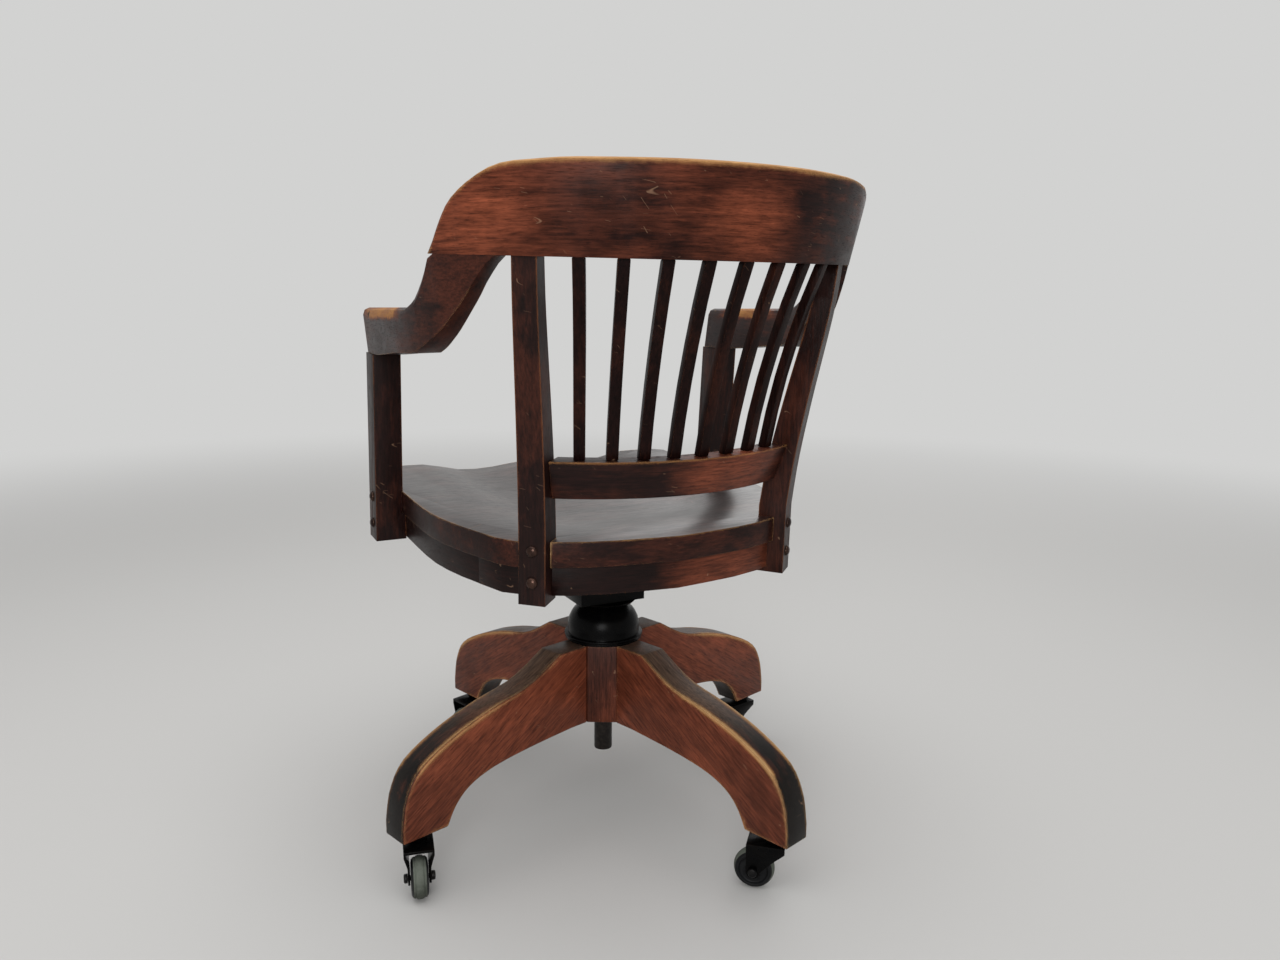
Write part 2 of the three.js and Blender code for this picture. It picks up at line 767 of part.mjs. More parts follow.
// A rail under the seat between two shares of the edge
function apronRail(fromShare, toShare, steps) {
  const top = seatUnder - gap;
  const rings = [];
  for (let step = 0; step <= steps; step += 1) {
    const share = lerp(fromShare, toShare, step / steps);
    const outer = edgePlace(share, apronInset);
    const inner = edgePlace(share, apronInset + apronThickness);
    rings.push([
      new THREE.Vector3(outer.x, outer.y, top - apronHeight),
      new THREE.Vector3(outer.x, outer.y, top),
      new THREE.Vector3(inner.x, inner.y, top),
      new THREE.Vector3(inner.x, inner.y, top - apronHeight),
    ]);
  }
  return loft(rings);
}

// Circles of the bow and places of the posts on the seat
const postTopFit = seatTop + backRise;
const backPostX = seatHalfWidth * backPostAcrossShare;
const backPostY = seatBack * backPostBehindShare;
const frontPostX = seatHalfWidth + frontPostProud;
const frontPostBottom = seatUnder - frontPostTail;
const crestTop = postTopFit + crestHeight;
const armLevel = crestTop - armRise;
const armFrontTop = armLevel - armDip;
const armFrontUnder = armFrontTop - armFrontHeight;
const armX = frontPostX + armProud;
const bowRadius = armX / Math.sin(radians(armBend)) + bowLean * (postTopFit - armLevel);
const bowCentre = seatBack + crestBehind - bowRadius;
const railTop = seatTop + railRise;

// Back post: a bent bar that leaves the upright above the seat and sweeps out to the crest.
// Shares of the sweep and of the rise, from the bend to the crest.
const postBendShares = [[0, 0], [0.14, 0.198], [0.434, 0.471], [0.854, 0.812], [1, 1]];
const postBendLine = new THREE.SplineCurve(postBendShares.map(([out, up]) => new THREE.Vector2(out, up)))
  .getPoints(postBendShares.length * postSteps);
const backPostBend = seatTop + backPostStraight;

// A level direction, turned from straight back toward the sitter's left
function levelWay(turn) {
  return new THREE.Vector3(Math.sin(radians(turn)), Math.cos(radians(turn)), 0);
}

const postBehind = levelWay(backPostTurn);
const postAcross = new THREE.Vector3(postBehind.y, -postBehind.x, 0);

// The middle of the post's rear face below the bend
function postRear(height) {
  return new THREE.Vector3(backPostX, backPostY, height).addScaledVector(postAcross, -backPostWidth / 2);
}

// The sweep ends where the rear face is nearly flush with the crest
function postSweep() {
  const way = levelWay(backPostSweepTurn);
  const start = postRear(0).setY(postRear(0).y - bowCentre);
  const radius = bowRadius - backPostRecess;
  const along = start.dot(way);
  return way.multiplyScalar(Math.sqrt(along * along - start.lengthSq() + radius * radius) - along);
}

const sweep = postSweep();

// The post's skin, grown by a clearance. With beyond, all that lies outside its inner face.
function backPostBlank(grow, beyond = grow) {
  const top = postTopFit - gap + grow;
  const line = postBendLine.map((point) => [point.x, lerp(backPostBend, top, point.y)]);
  const rings = [[0, seatUnder - backPostTail - grow], ...line].map(([out, height]) => {
    const corner = new THREE.Vector3(backPostX, backPostY, height).addScaledVector(sweep, out);
    const place = (inward, forward) => {
      return corner.clone().addScaledVector(postAcross, -inward).addScaledVector(postBehind, -forward);
    };
    const inner = lerp(backPostWidth, backPostTopWidth, out) + grow;
    const front = lerp(backPostDepth, backPostTopDepth, out) + beyond;
    return [place(-beyond, -beyond), place(inner, -beyond), place(inner, front), place(-beyond, front)];
  });
  return loft(rings);
}

// Front post: straight, swept back a little, with a tongue that laps the side rail under the seat
const frontPostInner = frontPostX - frontPostWidth;
const sideRailFace = seatHalfWidth - apronInset;

function frontPostBlank(grow) {
  const inner = frontPostInner - grow;
  const tongue = sideRailFace + gap - grow;
  const ledge = seatUnder - gap + grow;
  const outline = new THREE.Shape();
  outline.moveTo(tongue, frontPostBottom - grow);
  outline.lineTo(frontPostX + grow, frontPostBottom - grow);
  outline.lineTo(frontPostX + grow, armFrontUnder - gap + grow);
  outline.lineTo(inner, armFrontUnder - gap + grow);
  outline.lineTo(inner, ledge);
  outline.lineTo(tongue, ledge);
  outline.closePath();
  const settings = { depth: frontPostDepth + 2 * grow, bevelEnabled: false };
  const post = new THREE.ExtrudeGeometry(outline, settings).rotateX(Math.PI / 2);
  const slope = frontPostSweep / (armFrontUnder - frontPostBottom);
  const lean = new THREE.Matrix4().makeShear(0, 0, 0, 0, 0, slope);
  post.translate(0, grow, -frontPostBottom).applyMatrix4(lean);
  return post.translate(0, frontPostY, frontPostBottom);
}

// Bolts point along +Z before they are set: domed head above, shank below
function boltShape(grip) {
  const head = boltHead / 2;
  const shank = boltShank / 2;
  const dome = [];
  const steps = 4;
  for (let step = 0; step <= steps; step += 1) {
    const turn = (step / steps) * (Math.PI / 2);
    dome.push([head * Math.cos(turn), gap + boltHeadHeight * Math.sin(turn)]);
  }
  return turned([[0, -grip - boltBite], [shank, -grip - boltBite], [shank, gap], ...dome], smallSides);
}

function boltHole(grip) {
  return rod(boltShank + 2 * gap, -grip - boltBite - gap, overrun);
}

// Where the bolts of one side stand: heads behind the back post and outside the front post
function boltPlaces() {
  const places = [];
  for (const [level, height] of [["lower", seatUnder - boltBelow], ["upper", seatUnder + boltAbove]]) {
    const facingBack = new THREE.Matrix4().makeRotationX(-Math.PI / 2);
    const behind = new THREE.Matrix4().makeRotationZ(-radians(backPostTurn)).multiply(facingBack);
    places.push({ post: "back", level, grip: backPostDepth, frame: behind.setPosition(postRear(height)) });
    const outward = new THREE.Matrix4().makeRotationY(Math.PI / 2);
    const share = (height - frontPostBottom) / (armFrontUnder - frontPostBottom);
    const centreY = frontPostY - frontPostDepth / 2 + frontPostSweep * share;
    const frame = outward.setPosition(frontPostX, centreY, height);
    places.push({ post: "front", level, grip: frontPostWidth, frame });
  }
  return places;
}

function boltHoles(post) {
  const chosen = boltPlaces().filter((place) => !post || place.post === post);
  return chosen.map((place) => boltHole(place.grip).applyMatrix4(place.frame));
}

function bothSides(tools) {
  return tools.flatMap((tool) => [tool, mirrored(tool)]);
}

// Shares of the half outline where the rails under the seat meet
const railJointShare = 0.292;
const railFrontShare = 0.748;

function buildSeat(seat) {
  const housings = bothSides([backPostBlank(gap), frontPostBlank(gap)]);
  const holes = bothSides(boltHoles());
  add(seat, "seat_board", cut(seatBlank(), ...housings, ...holes), darkWood);
  const backRail = apronRail(-railJointShare, railJointShare, railSteps);
  add(seat, "apron_back", cut(backRail, ...housings, ...holes), redWood);
  const jointGap = gap / seatEdge.getLength();
  const sideRail = apronRail(railJointShare + jointGap, railFrontShare, railSteps);
  const cutSideRail = cut(sideRail, ...housings, ...holes);
  add(seat, "apron_left", cutSideRail, darkWood);
  add(seat, "apron_right", mirrored(cutSideRail), darkWood);
  const frontEnd = edgePlace(railFrontShare, apronInset);
  const frontWidth = 2 * (frontEnd.x - apronThickness - gap);
  const frontBottom = seatUnder - gap - apronHeight;
  const frontMiddle = frontEnd.y + apronThickness / 2;
  const front = block(frontWidth, apronThickness, apronHeight, 0, frontMiddle, frontBottom);
  add(seat, "apron_front", front, darkWood);
}

function buildPosts(seat) {
  const backPost = cut(backPostBlank(0), ...boltHoles("back"));
  const frontPost = cut(frontPostBlank(0), ...boltHoles("front"));
  for (const [name, side] of [["left", 1], ["right", -1]]) {
    add(seat, `back_post_${name}`, sided(backPost, side), darkWood);
    add(seat, `front_post_${name}`, sided(frontPost, side), darkWood);
    for (const { post, level, grip, frame } of boltPlaces()) {
      add(seat, `bolt_${post}_${name}_${level}`, sided(boltShape(grip).applyMatrix4(frame), side), bronze);
    }
  }
}

// Bow of the back. Upper and lower lines of crest and arms, as shares of the bend's turn and of the rise.
const upperShares = [
  [0, 1], [0.17, 0.998], [0.345, 0.99], [0.432, 0.985],
  [0.522, 0.967], [0.571, 0.955], [0.622, 0.914], [0.682, 0.828],
  [0.732, 0.728], [0.767, 0.616], [0.8, 0.49], [0.831, 0.358], [0.877, 0.219], [0.932, 0.08], [1, 0],
];
const lowerShares = [
  [0.6, 0.4], [0.622, 0.371], [0.645, 0.318], [0.692, 0.185], [0.719, 0.099], [0.754, 0.013], [0.79, -0.066],
  [0.833, -0.146], [0.874, -0.205], [0.935, -0.278], [1, -0.335],
];

function lineThrough(shares) {
  const points = shares.map(([turn, up]) => new THREE.Vector2(turn * armBend, armLevel + up * armRise));
  return new THREE.SplineCurve(points).getPoints(shares.length * roundSides);
}

const upperLine = lineThrough(upperShares);
const lowerLine = lineThrough(lowerShares);

function heightOn(line, turn) {
  const after = line.findIndex((point) => point.x >= turn);
  if (after < 1) {
    return after === 0 ? line[0].y : line[line.length - 1].y;
  }
  const [low, high] = [line[after - 1], line[after]];
  return lerp(low.y, high.y, (turn - low.x) / (high.x - low.x));
}

function turnOn(line, height) {
  const crosses = (point, index) => index > 0 && (point.y - height) * (line[index - 1].y - height) <= 0;
  const after = line.findIndex(crosses);
  const [low, high] = [line[after - 1], line[after]];
  return lerp(low.x, high.x, (height - low.y) / (high.y - low.y));
}

function bowAt(height) {
  return bowRadius + bowLean * (height - postTopFit);
}

// One section: square below, rounded over on top.
// The place function sets a depth from the outside and a height.
const roundShares = [[0, 1], [0.3, 0.3], [1, 0]];

function section(place, bottom, top, thickness, round) {
  const outer = roundShares.map(([inward, down]) => place(inward * round, top - down * round));
  const inner = roundShares.map(([inward, down]) => place(thickness - inward * round, top - down * round));
  return [place(0, bottom), ...outer, ...inner.reverse(), place(thickness, bottom)];
}

function bowPlace(turn) {
  const [across, behind] = [Math.sin(radians(turn)), Math.cos(radians(turn))];
  return (inward, height) => {
    const radius = bowAt(height) - inward;
    return new THREE.Vector3(radius * across, bowCentre + radius * behind, height);
  };
}

const tipTurn = turnOn(upperLine, postTopFit);

function crestShape() {
  const rings = [];
  for (let step = -bowSteps; step <= bowSteps; step += 1) {
    const share = Math.sin((step / bowSteps) * (Math.PI / 2));
    const turn = share * tipTurn;
    const top = Math.max(heightOn(upperLine, Math.abs(turn)), postTopFit + gap);
    const round = Math.min(crestRound, (top - postTopFit) * roundShare);
    rings.push(section(bowPlace(turn), postTopFit, top, crestThickness, round));
  }
  return loft(rings);
}

// Arm: straight along the outer plane, then along the bow up to the crest's underside
function armShape() {
  const rings = [];
  const bendPlace = bowPlace(armBend);
  const bendTop = heightOn(upperLine, armBend);
  const bendUnder = heightOn(lowerLine, armBend);
  const bendY = bendPlace(0, bendTop).y;
  for (let step = 0; step < armStraightSteps; step += 1) {
    const share = step / armStraightSteps;
    const y = lerp(armFrontY, bendY, share);
    const bottom = lerp(armFrontUnder, bendUnder, smooth(share, armUnderShare, 1));
    const top = lerp(armFrontTop, bendTop, share);
    const place = (inward, height) => {
      return new THREE.Vector3(armX + armLean * (height - bendTop) - inward, y, height);
    };
    rings.push(section(place, bottom, top, armWidth, armRound));
  }
  const lastTurn = turnOn(lowerLine, postTopFit - 2 * gap);
  for (let step = 0; step <= armSteps; step += 1) {
    const turn = lerp(armBend, lastTurn, step / armSteps);
    const top = Math.min(heightOn(upperLine, turn), postTopFit - gap);
    const bottom = Math.min(heightOn(lowerLine, turn), top - gap);
    const clear = Math.max(postTopFit - gap - top, 0);
    const round = Math.min(armRound, clear * roundShare);
    const thickness = lerp(crestThickness, armWidth, smooth(turn, tipTurn - armThinTurn, armBend));
    rings.push(section(bowPlace(turn), bottom, top, thickness, round));
  }
  return loft(rings);
}

// Lower rail of the back. The top edge of its rear face is a circle through a point behind the seat's middle
// and through points just inside the rear corners of the back posts.
const railOut = turnOn(postBendLine, (railTop - backPostBend) / (postTopFit - backPostBend));
const railEnd = new THREE.Vector3(backPostX, backPostY, 0).addScaledVector(sweep, railOut)
  .addScaledVector(postAcross, -lerp(backPostWidth, backPostTopWidth, railOut))
  .addScaledVector(postBehind, -railRecess);
const railSag = seatBack + railBehind - railEnd.y;
const railRadius = (railEnd.x * railEnd.x + railSag * railSag) / (2 * railSag);
const railCentre = seatBack + railBehind - railRadius;
const railEndTurn = Math.asin(railEnd.x / railRadius);

function ringPlace(centre, radius, turn, height) {
  return new THREE.Vector3(radius * Math.sin(turn), centre + radius * Math.cos(turn), height);
}

function lowerRailShape() {
  const endTurn = Math.asin(backPostX / railRadius);
  const under = railTop - railHeight;
  const lean = railLean * railHeight;
  const rings = [];
  for (let step = -railSteps; step <= railSteps; step += 1) {
    const turn = (step / railSteps) * endTurn;
    const place = (inward, height) => ringPlace(railCentre, railRadius - inward, turn, height);
    const outside = [place(lean, under), place(0, railTop)];
    const inside = [place(railThickness, railTop), place(railThickness + lean, under)];
    rings.push([...outside, ...inside]);
  }
  return cut(loft(rings), ...bothSides([backPostBlank(gap, backPostX)]));
}

// Slat: from the lower rail to the crest, bowed forward, square to the back's curve.
// The slats share out the run between the posts, at the foot and at the head.
const postHead = postRear(0).add(sweep);
const postHeadTurn = Math.atan2(postHead.x, postHead.y - bowCentre);

function slatShape(number) {
  const footTurn = (2 * number - 1) * slatFootShare * railEndTurn;
  const headTurn = (2 * number - 1) * slatHeadShare * postHeadTurn;
  const foot = ringPlace(railCentre, railRadius - slatFootRecess, footTurn, railTop + gap);
  const head = ringPlace(bowCentre, bowRadius - slatHeadRecess, headTurn, postTopFit - gap);
  const rings = [];
  for (let step = 0; step <= slatSteps; step += 1) {
    const share = step / slatSteps;
    const turn = lerp(footTurn, headTurn, share);
    const outward = ringPlace(0, 1, turn, 0);
    const across = new THREE.Vector3(outward.y, -outward.x, 0);
    const bow = -2 * slatBow * 2 * share * (1 - share);
    const rear = foot.clone().lerp(head, share).addScaledVector(outward, bow);
    const front = rear.clone().addScaledVector(outward, -slatThickness);
    rings.push([
      rear.clone().addScaledVector(across, -slatWidth / 2),
      rear.clone().addScaledVector(across, slatWidth / 2),
      front.clone().addScaledVector(across, slatWidth / 2),
      front.clone().addScaledVector(across, -slatWidth / 2),
    ]);
  }
  return loft(rings);
}

function buildBack(seat) {
  add(seat, "crest_rail", crestShape(), darkWood);
  add(seat, "lower_rail", lowerRailShape(), redWood);
  const arm = armShape();
  for (const [name, side] of [["left", 1], ["right", -1]]) {
    add(seat, `arm_${name}`, sided(arm, side), darkWood);
    for (let number = 1; number <= slatsPerSide; number += 1) {
      add(seat, `slat_${name}_${number}`, sided(slatShape(number), side), darkWood);
    }
  }
}

// The whole chair. The seat and its iron lean back about the pivot pin.
const chair = new THREE.Group();
const tilting = new THREE.Group();
tilting.position.z = pivotHeight;
tilting.rotation.x = -radians(seatTilt);
const seatFrame = new THREE.Group();
seatFrame.position.set(seatSetLeft, -seatSetForward, -pivotHeight);
tilting.add(seatFrame);
chair.add(tilting);

buildBase(chair);
buildColumn(chair);
buildTiltIron(chair, tilting);
buildSeat(seatFrame);
buildPosts(seatFrame);
buildBack(seatFrame);

// Origin on the floor, below the middle of the whole chair
const box = new THREE.Box3().setFromObject(chair, true);
const middle = box.getCenter(new THREE.Vector3());
chair.position.set(-middle.x, -middle.y, -box.min.z);
console.log("chair moved by", chair.position.toArray().map((value) => value.toFixed(3)).join(", "));
console.log("rod hinge before the move", rodY.toFixed(3), rodZ.toFixed(3));

export default chair;
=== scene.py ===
# %% [markdown]
# A bankers swivel chair, seen from behind and a little above.
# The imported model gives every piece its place. This lesson dresses those pieces: it rounds
# their edges, stains and wears the wood, paints the iron, winds the tension spring and turns
# the caster wheels. Everything is in metres, with X to the sitter's left, Y to the rear and
# Z up.

import json
import math

import bmesh
import bpy
from mathutils import Matrix, Vector


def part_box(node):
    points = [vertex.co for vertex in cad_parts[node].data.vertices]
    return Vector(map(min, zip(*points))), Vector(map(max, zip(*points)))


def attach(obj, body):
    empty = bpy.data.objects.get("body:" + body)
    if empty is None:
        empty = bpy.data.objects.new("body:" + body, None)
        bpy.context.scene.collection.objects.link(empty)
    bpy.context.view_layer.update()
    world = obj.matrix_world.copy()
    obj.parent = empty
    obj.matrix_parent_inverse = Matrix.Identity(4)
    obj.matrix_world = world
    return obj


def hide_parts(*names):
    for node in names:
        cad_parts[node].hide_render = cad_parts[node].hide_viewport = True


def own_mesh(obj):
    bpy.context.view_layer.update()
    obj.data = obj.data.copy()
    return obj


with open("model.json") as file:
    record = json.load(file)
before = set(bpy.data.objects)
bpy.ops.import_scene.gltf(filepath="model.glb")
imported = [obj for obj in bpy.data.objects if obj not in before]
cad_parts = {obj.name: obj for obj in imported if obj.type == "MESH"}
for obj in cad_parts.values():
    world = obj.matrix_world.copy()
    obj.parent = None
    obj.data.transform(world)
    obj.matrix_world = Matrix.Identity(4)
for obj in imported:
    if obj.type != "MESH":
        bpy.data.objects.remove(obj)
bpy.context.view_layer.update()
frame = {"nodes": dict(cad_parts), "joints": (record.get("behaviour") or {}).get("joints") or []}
nodes = frame["nodes"]
joints = {joint["name"]: joint for joint in frame["joints"]}
millimetre = 0.001
whole_turn = 2 * math.pi
straight_up = Vector((0.0, 0.0, 1.0))

# %% [markdown]
# The camera stands behind the chair on the sitter's left side, just under the crest's height,
# and looks down a little. Its place and turns were found by matching edges of the solids to
# the same edges in the picture. The rows of a rotation matrix are easier to check than three
# Euler angles, so the camera's own axes are worked out and set as a matrix.

# %% Camera
camera_place = Vector((0.56045, 1.178327, 0.70795))
camera_yaw = math.radians(-27.289)
camera_pitch = math.radians(10.4765)
camera_roll = math.radians(0.5387)
picture_width = 1280
focal_pixels = 992.37
sensor_width = 36


def camera_matrix():
    level = math.cos(camera_pitch)
    ahead = Vector((
        math.sin(camera_yaw) * level,
        -math.cos(camera_yaw) * level,
        -math.sin(camera_pitch),
    ))
    right = ahead.cross(straight_up).normalized()
    upright = right.cross(ahead)
    lean = math.cos(camera_roll)
    tip = math.sin(camera_roll)
    across = right * lean + upright * tip
    over = upright * lean - right * tip
    turn = Matrix((across, over, -ahead)).transposed()
    return Matrix.Translation(camera_place) @ turn.to_4x4()


def place_camera():
    camera = bpy.data.objects.new("camera", bpy.data.cameras.new("camera"))
    camera.data.sensor_width = sensor_width
    camera.data.lens = sensor_width * focal_pixels / picture_width
    camera.matrix_world = camera_matrix()
    bpy.context.scene.collection.objects.link(camera)
    bpy.context.scene.camera = camera
    return camera.data.lens


print("lens", place_camera(), "mm")

# %% [markdown]
# A finish is a sheet of nodes. Written as plain arithmetic it is far easier to read than as
# boxes and wires, so one small class stands for a wire and turns + - * into Math nodes. A
# Math node has two inputs of the same name, so those are called by their number.

# %% A wire that can be added and multiplied
first_input = 0
second_input = 1
third_input = 2


class Wire:
    """One output of a node. Sums and products of wires add Math nodes to the finish."""

    def __init__(self, finish, socket):
        self.finish = finish
        self.socket = socket

    def maths(self, operation, first, second=0.0):
        inputs = {first_input: first, second_input: second}
        return self.finish.node("ShaderNodeMath", {"operation": operation}, inputs)

    def __add__(self, other):
        return self.maths("ADD", self, other)

    def __radd__(self, other):
        return self.maths("ADD", other, self)

    def __sub__(self, other):
        return self.maths("SUBTRACT", self, other)

    def __rsub__(self, other):
        return self.maths("SUBTRACT", other, self)

    def __mul__(self, other):
        return self.maths("MULTIPLY", self, other)

    def __rmul__(self, other):
        return self.maths("MULTIPLY", other, self)

    def size(self):
        return self.maths("ABSOLUTE", self)

    def most(self, other):
        return self.maths("MAXIMUM", self, other)

    def least(self, other):
        return self.maths("MINIMUM", self, other)


# %% [markdown]
# A second class stands for the whole sheet. Its method node makes any node from its type,
# its settings and its inputs, and the others are short names for the nodes used most.
# Colours and places go through Mix and Vector Math, since a Math node would turn them grey.

# %% A finish that makes its own nodes
mix_first_colour = 6
mix_second_colour = 7
mix_colour_result = 2
colour_channels = 3
edge_samples = 6


class Finish:
    """A material, or the world, made of nodes."""

    def __init__(self, tree):
        self.tree = tree
        self.tree.nodes.clear()

    def node(self, kind, settings=None, inputs=None, output=0):
        made = self.tree.nodes.new(kind)
        for name, value in (settings or {}).items():
            setattr(made, name, value)
        for name, value in (inputs or {}).items():
            if isinstance(value, Wire):
                self.tree.links.new(value.socket, made.inputs[name])
            else:
                made.inputs[name].default_value = value
        return Wire(self, made.outputs[output])

    def end(self, kind, shader):
        last = self.tree.nodes.new(kind)
        self.tree.links.new(shader.socket, last.inputs["Surface"])

    def step(self, value, low, high):
        """0 below low, 1 above high, and a smooth rise between."""
        settings = {"interpolation_type": "SMOOTHSTEP"}
        inputs = {"Value": value, "From Min": low, "From Max": high}
        return self.node("ShaderNodeMapRange", settings, inputs)

    def mix(self, share, first, second):
        """The first colour at 0 and the second at 1."""
        settings = {"data_type": "RGBA", "clamp_factor": True}
        inputs = {first_input: share, mix_first_colour: first, mix_second_colour: second}
        return self.node("ShaderNodeMix", settings, inputs, mix_colour_result)

    def either(self, share, first, second):
        """The first shader at 0 and the second at 1."""
        inputs = {first_input: share, second_input: first, third_input: second}
        return self.node("ShaderNodeMixShader", {}, inputs)

    def shade(self, colour, strength):
        """A colour made lighter or darker by a number."""
        settings = {"operation": "SCALE"}
        if isinstance(colour, tuple):
            colour = colour[:colour_channels]
        inputs = {first_input: colour, "Scale": strength}
        return self.node("ShaderNodeVectorMath", settings, inputs)

    def vector(self, operation, first, second, output=0):
        """Vector Math on two places or directions."""
        inputs = {first_input: first, second_input: second}
        return self.node("ShaderNodeVectorMath", {"operation": operation}, inputs, output)

    def stretch(self, place, scales):
        return self.vector("MULTIPLY", place, scales)

    def distance(self, place, middle):
        return self.vector("DISTANCE", place, middle, "Value")

    def spun(self, vector, axis, angle):
        """A place or a direction turned about an axis, such as "Z_AXIS"."""
        settings = {"rotation_type": axis}
        return self.node("ShaderNodeVectorRotate", settings, {"Vector": vector, "Angle": angle})

    def part(self, vector, axis):
        """One number of a place or a direction, such as "Z"."""
        return self.node("ShaderNodeSeparateXYZ", {}, {"Vector": vector}, axis)

    def noise(self, place, scale, detail, rough, bend):
        inputs = {
            "Vector": place,
            "Scale": scale,
            "Detail": detail,
            "Roughness": rough,
            "Distortion": bend,
        }
        return self.node("ShaderNodeTexNoise", {}, inputs)

    def own_place(self):
        """Where a point is on its own piece, so that a pattern moves with the piece."""
        return self.node("ShaderNodeTexCoord", {}, {}, "Object")

    def ray(self, kind):
        """1 for rays of one kind, such as "Is Camera Ray", and 0 for all others."""
        return self.node("ShaderNodeLightPath", {}, {}, kind)

    def near_edge(self, reach):
        """0 on a flat face and more the nearer to an edge, and the way that the edge faces."""
        turned = self.node("ShaderNodeBevel", {"samples": edge_samples}, {"Radius": reach})
        true = self.node("ShaderNodeNewGeometry", {}, {}, "Normal")
        match = self.vector("DOT_PRODUCT", turned, true, "Value")
        settings = {"vector_type": "NORMAL", "convert_from": "WORLD", "convert_to": "OBJECT"}
        own = self.node("ShaderNodeVectorTransform", settings, {"Vector": turned})
        return 1.0 - match, own


# %% Materials and colours
screen_white = 255
curve_offset = 0.055
curve_power = 2.4
channel_starts = (0, 2, 4)
channel_digits = 2
hexadecimal = 16


def new_finish(name):
    material = bpy.data.materials.new(name)
    material.use_nodes = True
    return material, Finish(material.node_tree)


def linear(text):
    """A colour written as on a screen, such as 6a3322, as the light it stands for."""
    texts = [text[start:start + channel_digits] for start in channel_starts]
    shares = [int(digits, hexadecimal) / screen_white for digits in texts]
    light = [((share + curve_offset) / (1 + curve_offset)) ** curve_power for share in shares]
    return (*light, 1.0)


print("nodes can be written as sums")

# %% [markdown]
# The chair stands in a plain photo studio. The world does two jobs. On the chair it gives an
# even room light, a little stronger in glossy reflections, where varnish mirrors the pale
# walls. To the camera it is only a pale grey backdrop, which adds no light of its own. Light
# Path tells the kinds of ray apart.

# %% World
white = linear("ffffff")
backdrop_grey = linear("d2d2d1")
backdrop_light = 1.0
room_light = 0.44
mirror_light = 0.85


def glow(finish, kind, colour, strength):
    return finish.node(kind, {}, {"Color": colour, "Strength": strength})


def light_world():
    world = bpy.data.worlds.new("studio")
    bpy.context.scene.world = world
    world.use_nodes = True
    finish = Finish(world.node_tree)
    room = glow(finish, "ShaderNodeBackground", white, room_light)
    wall = glow(finish, "ShaderNodeBackground", backdrop_grey, backdrop_light)
    mirrored = glow(finish, "ShaderNodeBackground", backdrop_grey, mirror_light)
    shine = finish.either(finish.ray("Is Glossy Ray"), room, mirrored)
    seen = finish.ray("Is Camera Ray").most(finish.ray("Is Transmission Ray"))
    finish.end("ShaderNodeOutputWorld", finish.either(seen, shine, wall))


light_world()
print("world lit")

# %% [markdown]
# The floor is one pale round sheet. A horizon line would cut the picture in two, so the
# sheet fades into the backdrop's own grey before its rim, and keeps the chair's shadow near
# the middle. Bounced light still meets plain floor everywhere.

# %% Floor
floor_grey = linear("c9c8c6")
floor_radius = 9.0
floor_segments = 96
floor_fade = (1.6, 4.2)
floor_gloss = 0.8
floor_sheen = 0.1
nowhere = (0.0, 0.0, 0.0)


def floor_finish():
    material, finish = new_finish("studio_floor")
    far = finish.distance(finish.own_place(), nowhere)
    fade = finish.step(far, *floor_fade)
    seen = finish.ray("Is Camera Ray").most(finish.ray("Is Glossy Ray"))
    seen = seen.most(finish.ray("Is Transmission Ray"))
    inputs = {
        "Base Color": floor_grey,
        "Roughness": floor_gloss,
        "Specular IOR Level": floor_sheen,
    }
    ground = finish.node("ShaderNodeBsdfPrincipled", {}, inputs)
    wall = glow(finish, "ShaderNodeEmission", backdrop_grey, backdrop_light)
    finish.end("ShaderNodeOutputMaterial", finish.either(fade * seen, ground, wall))
    return material


def lay_floor():
    shape = bmesh.new()
    bmesh.ops.create_circle(shape, cap_ends=True, segments=floor_segments, radius=floor_radius)
    mesh = bpy.data.meshes.new("studio_floor")
    shape.to_mesh(mesh)
    shape.free()
    floor = bpy.data.objects.new("studio_floor", mesh)
    bpy.context.scene.collection.objects.link(floor)
    mesh.materials.append(floor_finish())


lay_floor()
print("floor laid")

# %% [markdown]
# Three large soft lamps do what studio panels do: one high over the chair, one at the
# camera's left that warms the leg sides, and a weak one from the far side that draws the
# seat's dish and the slats' edges. Each is an area lamp aimed at the middle of the chair.

# %% Lamps
chair_middle = Vector((0.0, 0.0, 0.42))
# Of each: where it hangs, how wide it is, and its power in watts.
lamps = {
    "lamp_over": ((0.2, 0.2, 2.9), 4.0, 58.0),
    "lamp_left": ((1.7, 2.9, 1.3), 1.6, 46.0),
    "lamp_far": ((-2.2, -2.0, 1.9), 2.4, 12.0),
}


def hang_lamp(name, place, across, power):
    lamp = bpy.data.lights.new(name, "AREA")
    lamp.shape = "DISK"
    lamp.size = across
    lamp.energy = power
    made = bpy.data.objects.new(name, lamp)
    made.location = place
    aim = chair_middle - Vector(place)
    made.rotation_euler = aim.to_track_quat("-Z", "Y").to_euler()
    bpy.context.scene.collection.objects.link(made)


for name, (place, across, power) in lamps.items():
    hang_lamp(name, place, across, power)
bpy.context.scene.view_settings.view_transform = "Standard"
print("hung", len(lamps), "lamps")

# %% [markdown]
# The wood is old hardwood under a dark red stain and a thin varnish. Its colour is uneven:
# from large to small there are blotches where the red shows, a wavy figure, streaks along
# the grain and short dark pores. A picture of wood on each face would show seams at the
# edges. Noise fills the solid, so it runs on round a corner as grain does. It is squeezed
# along the grain, which draws it out into streaks.

# %% Stains
dark_stain = linear("24110e")
red_stain = linear("84452f")
sooty_stain = linear("17120f")
# Dust on a leg's top, made light enough to paint the sheen of the lamp above as well.
dusty_sheen_stain = linear("5c483b")
thin_stain = linear("86452c")
rubbed_wood = linear("a97644")
bright_rubbed_wood = linear("e0b67c")
pale_scratch = linear("b08a6e")
print("stains mixed")

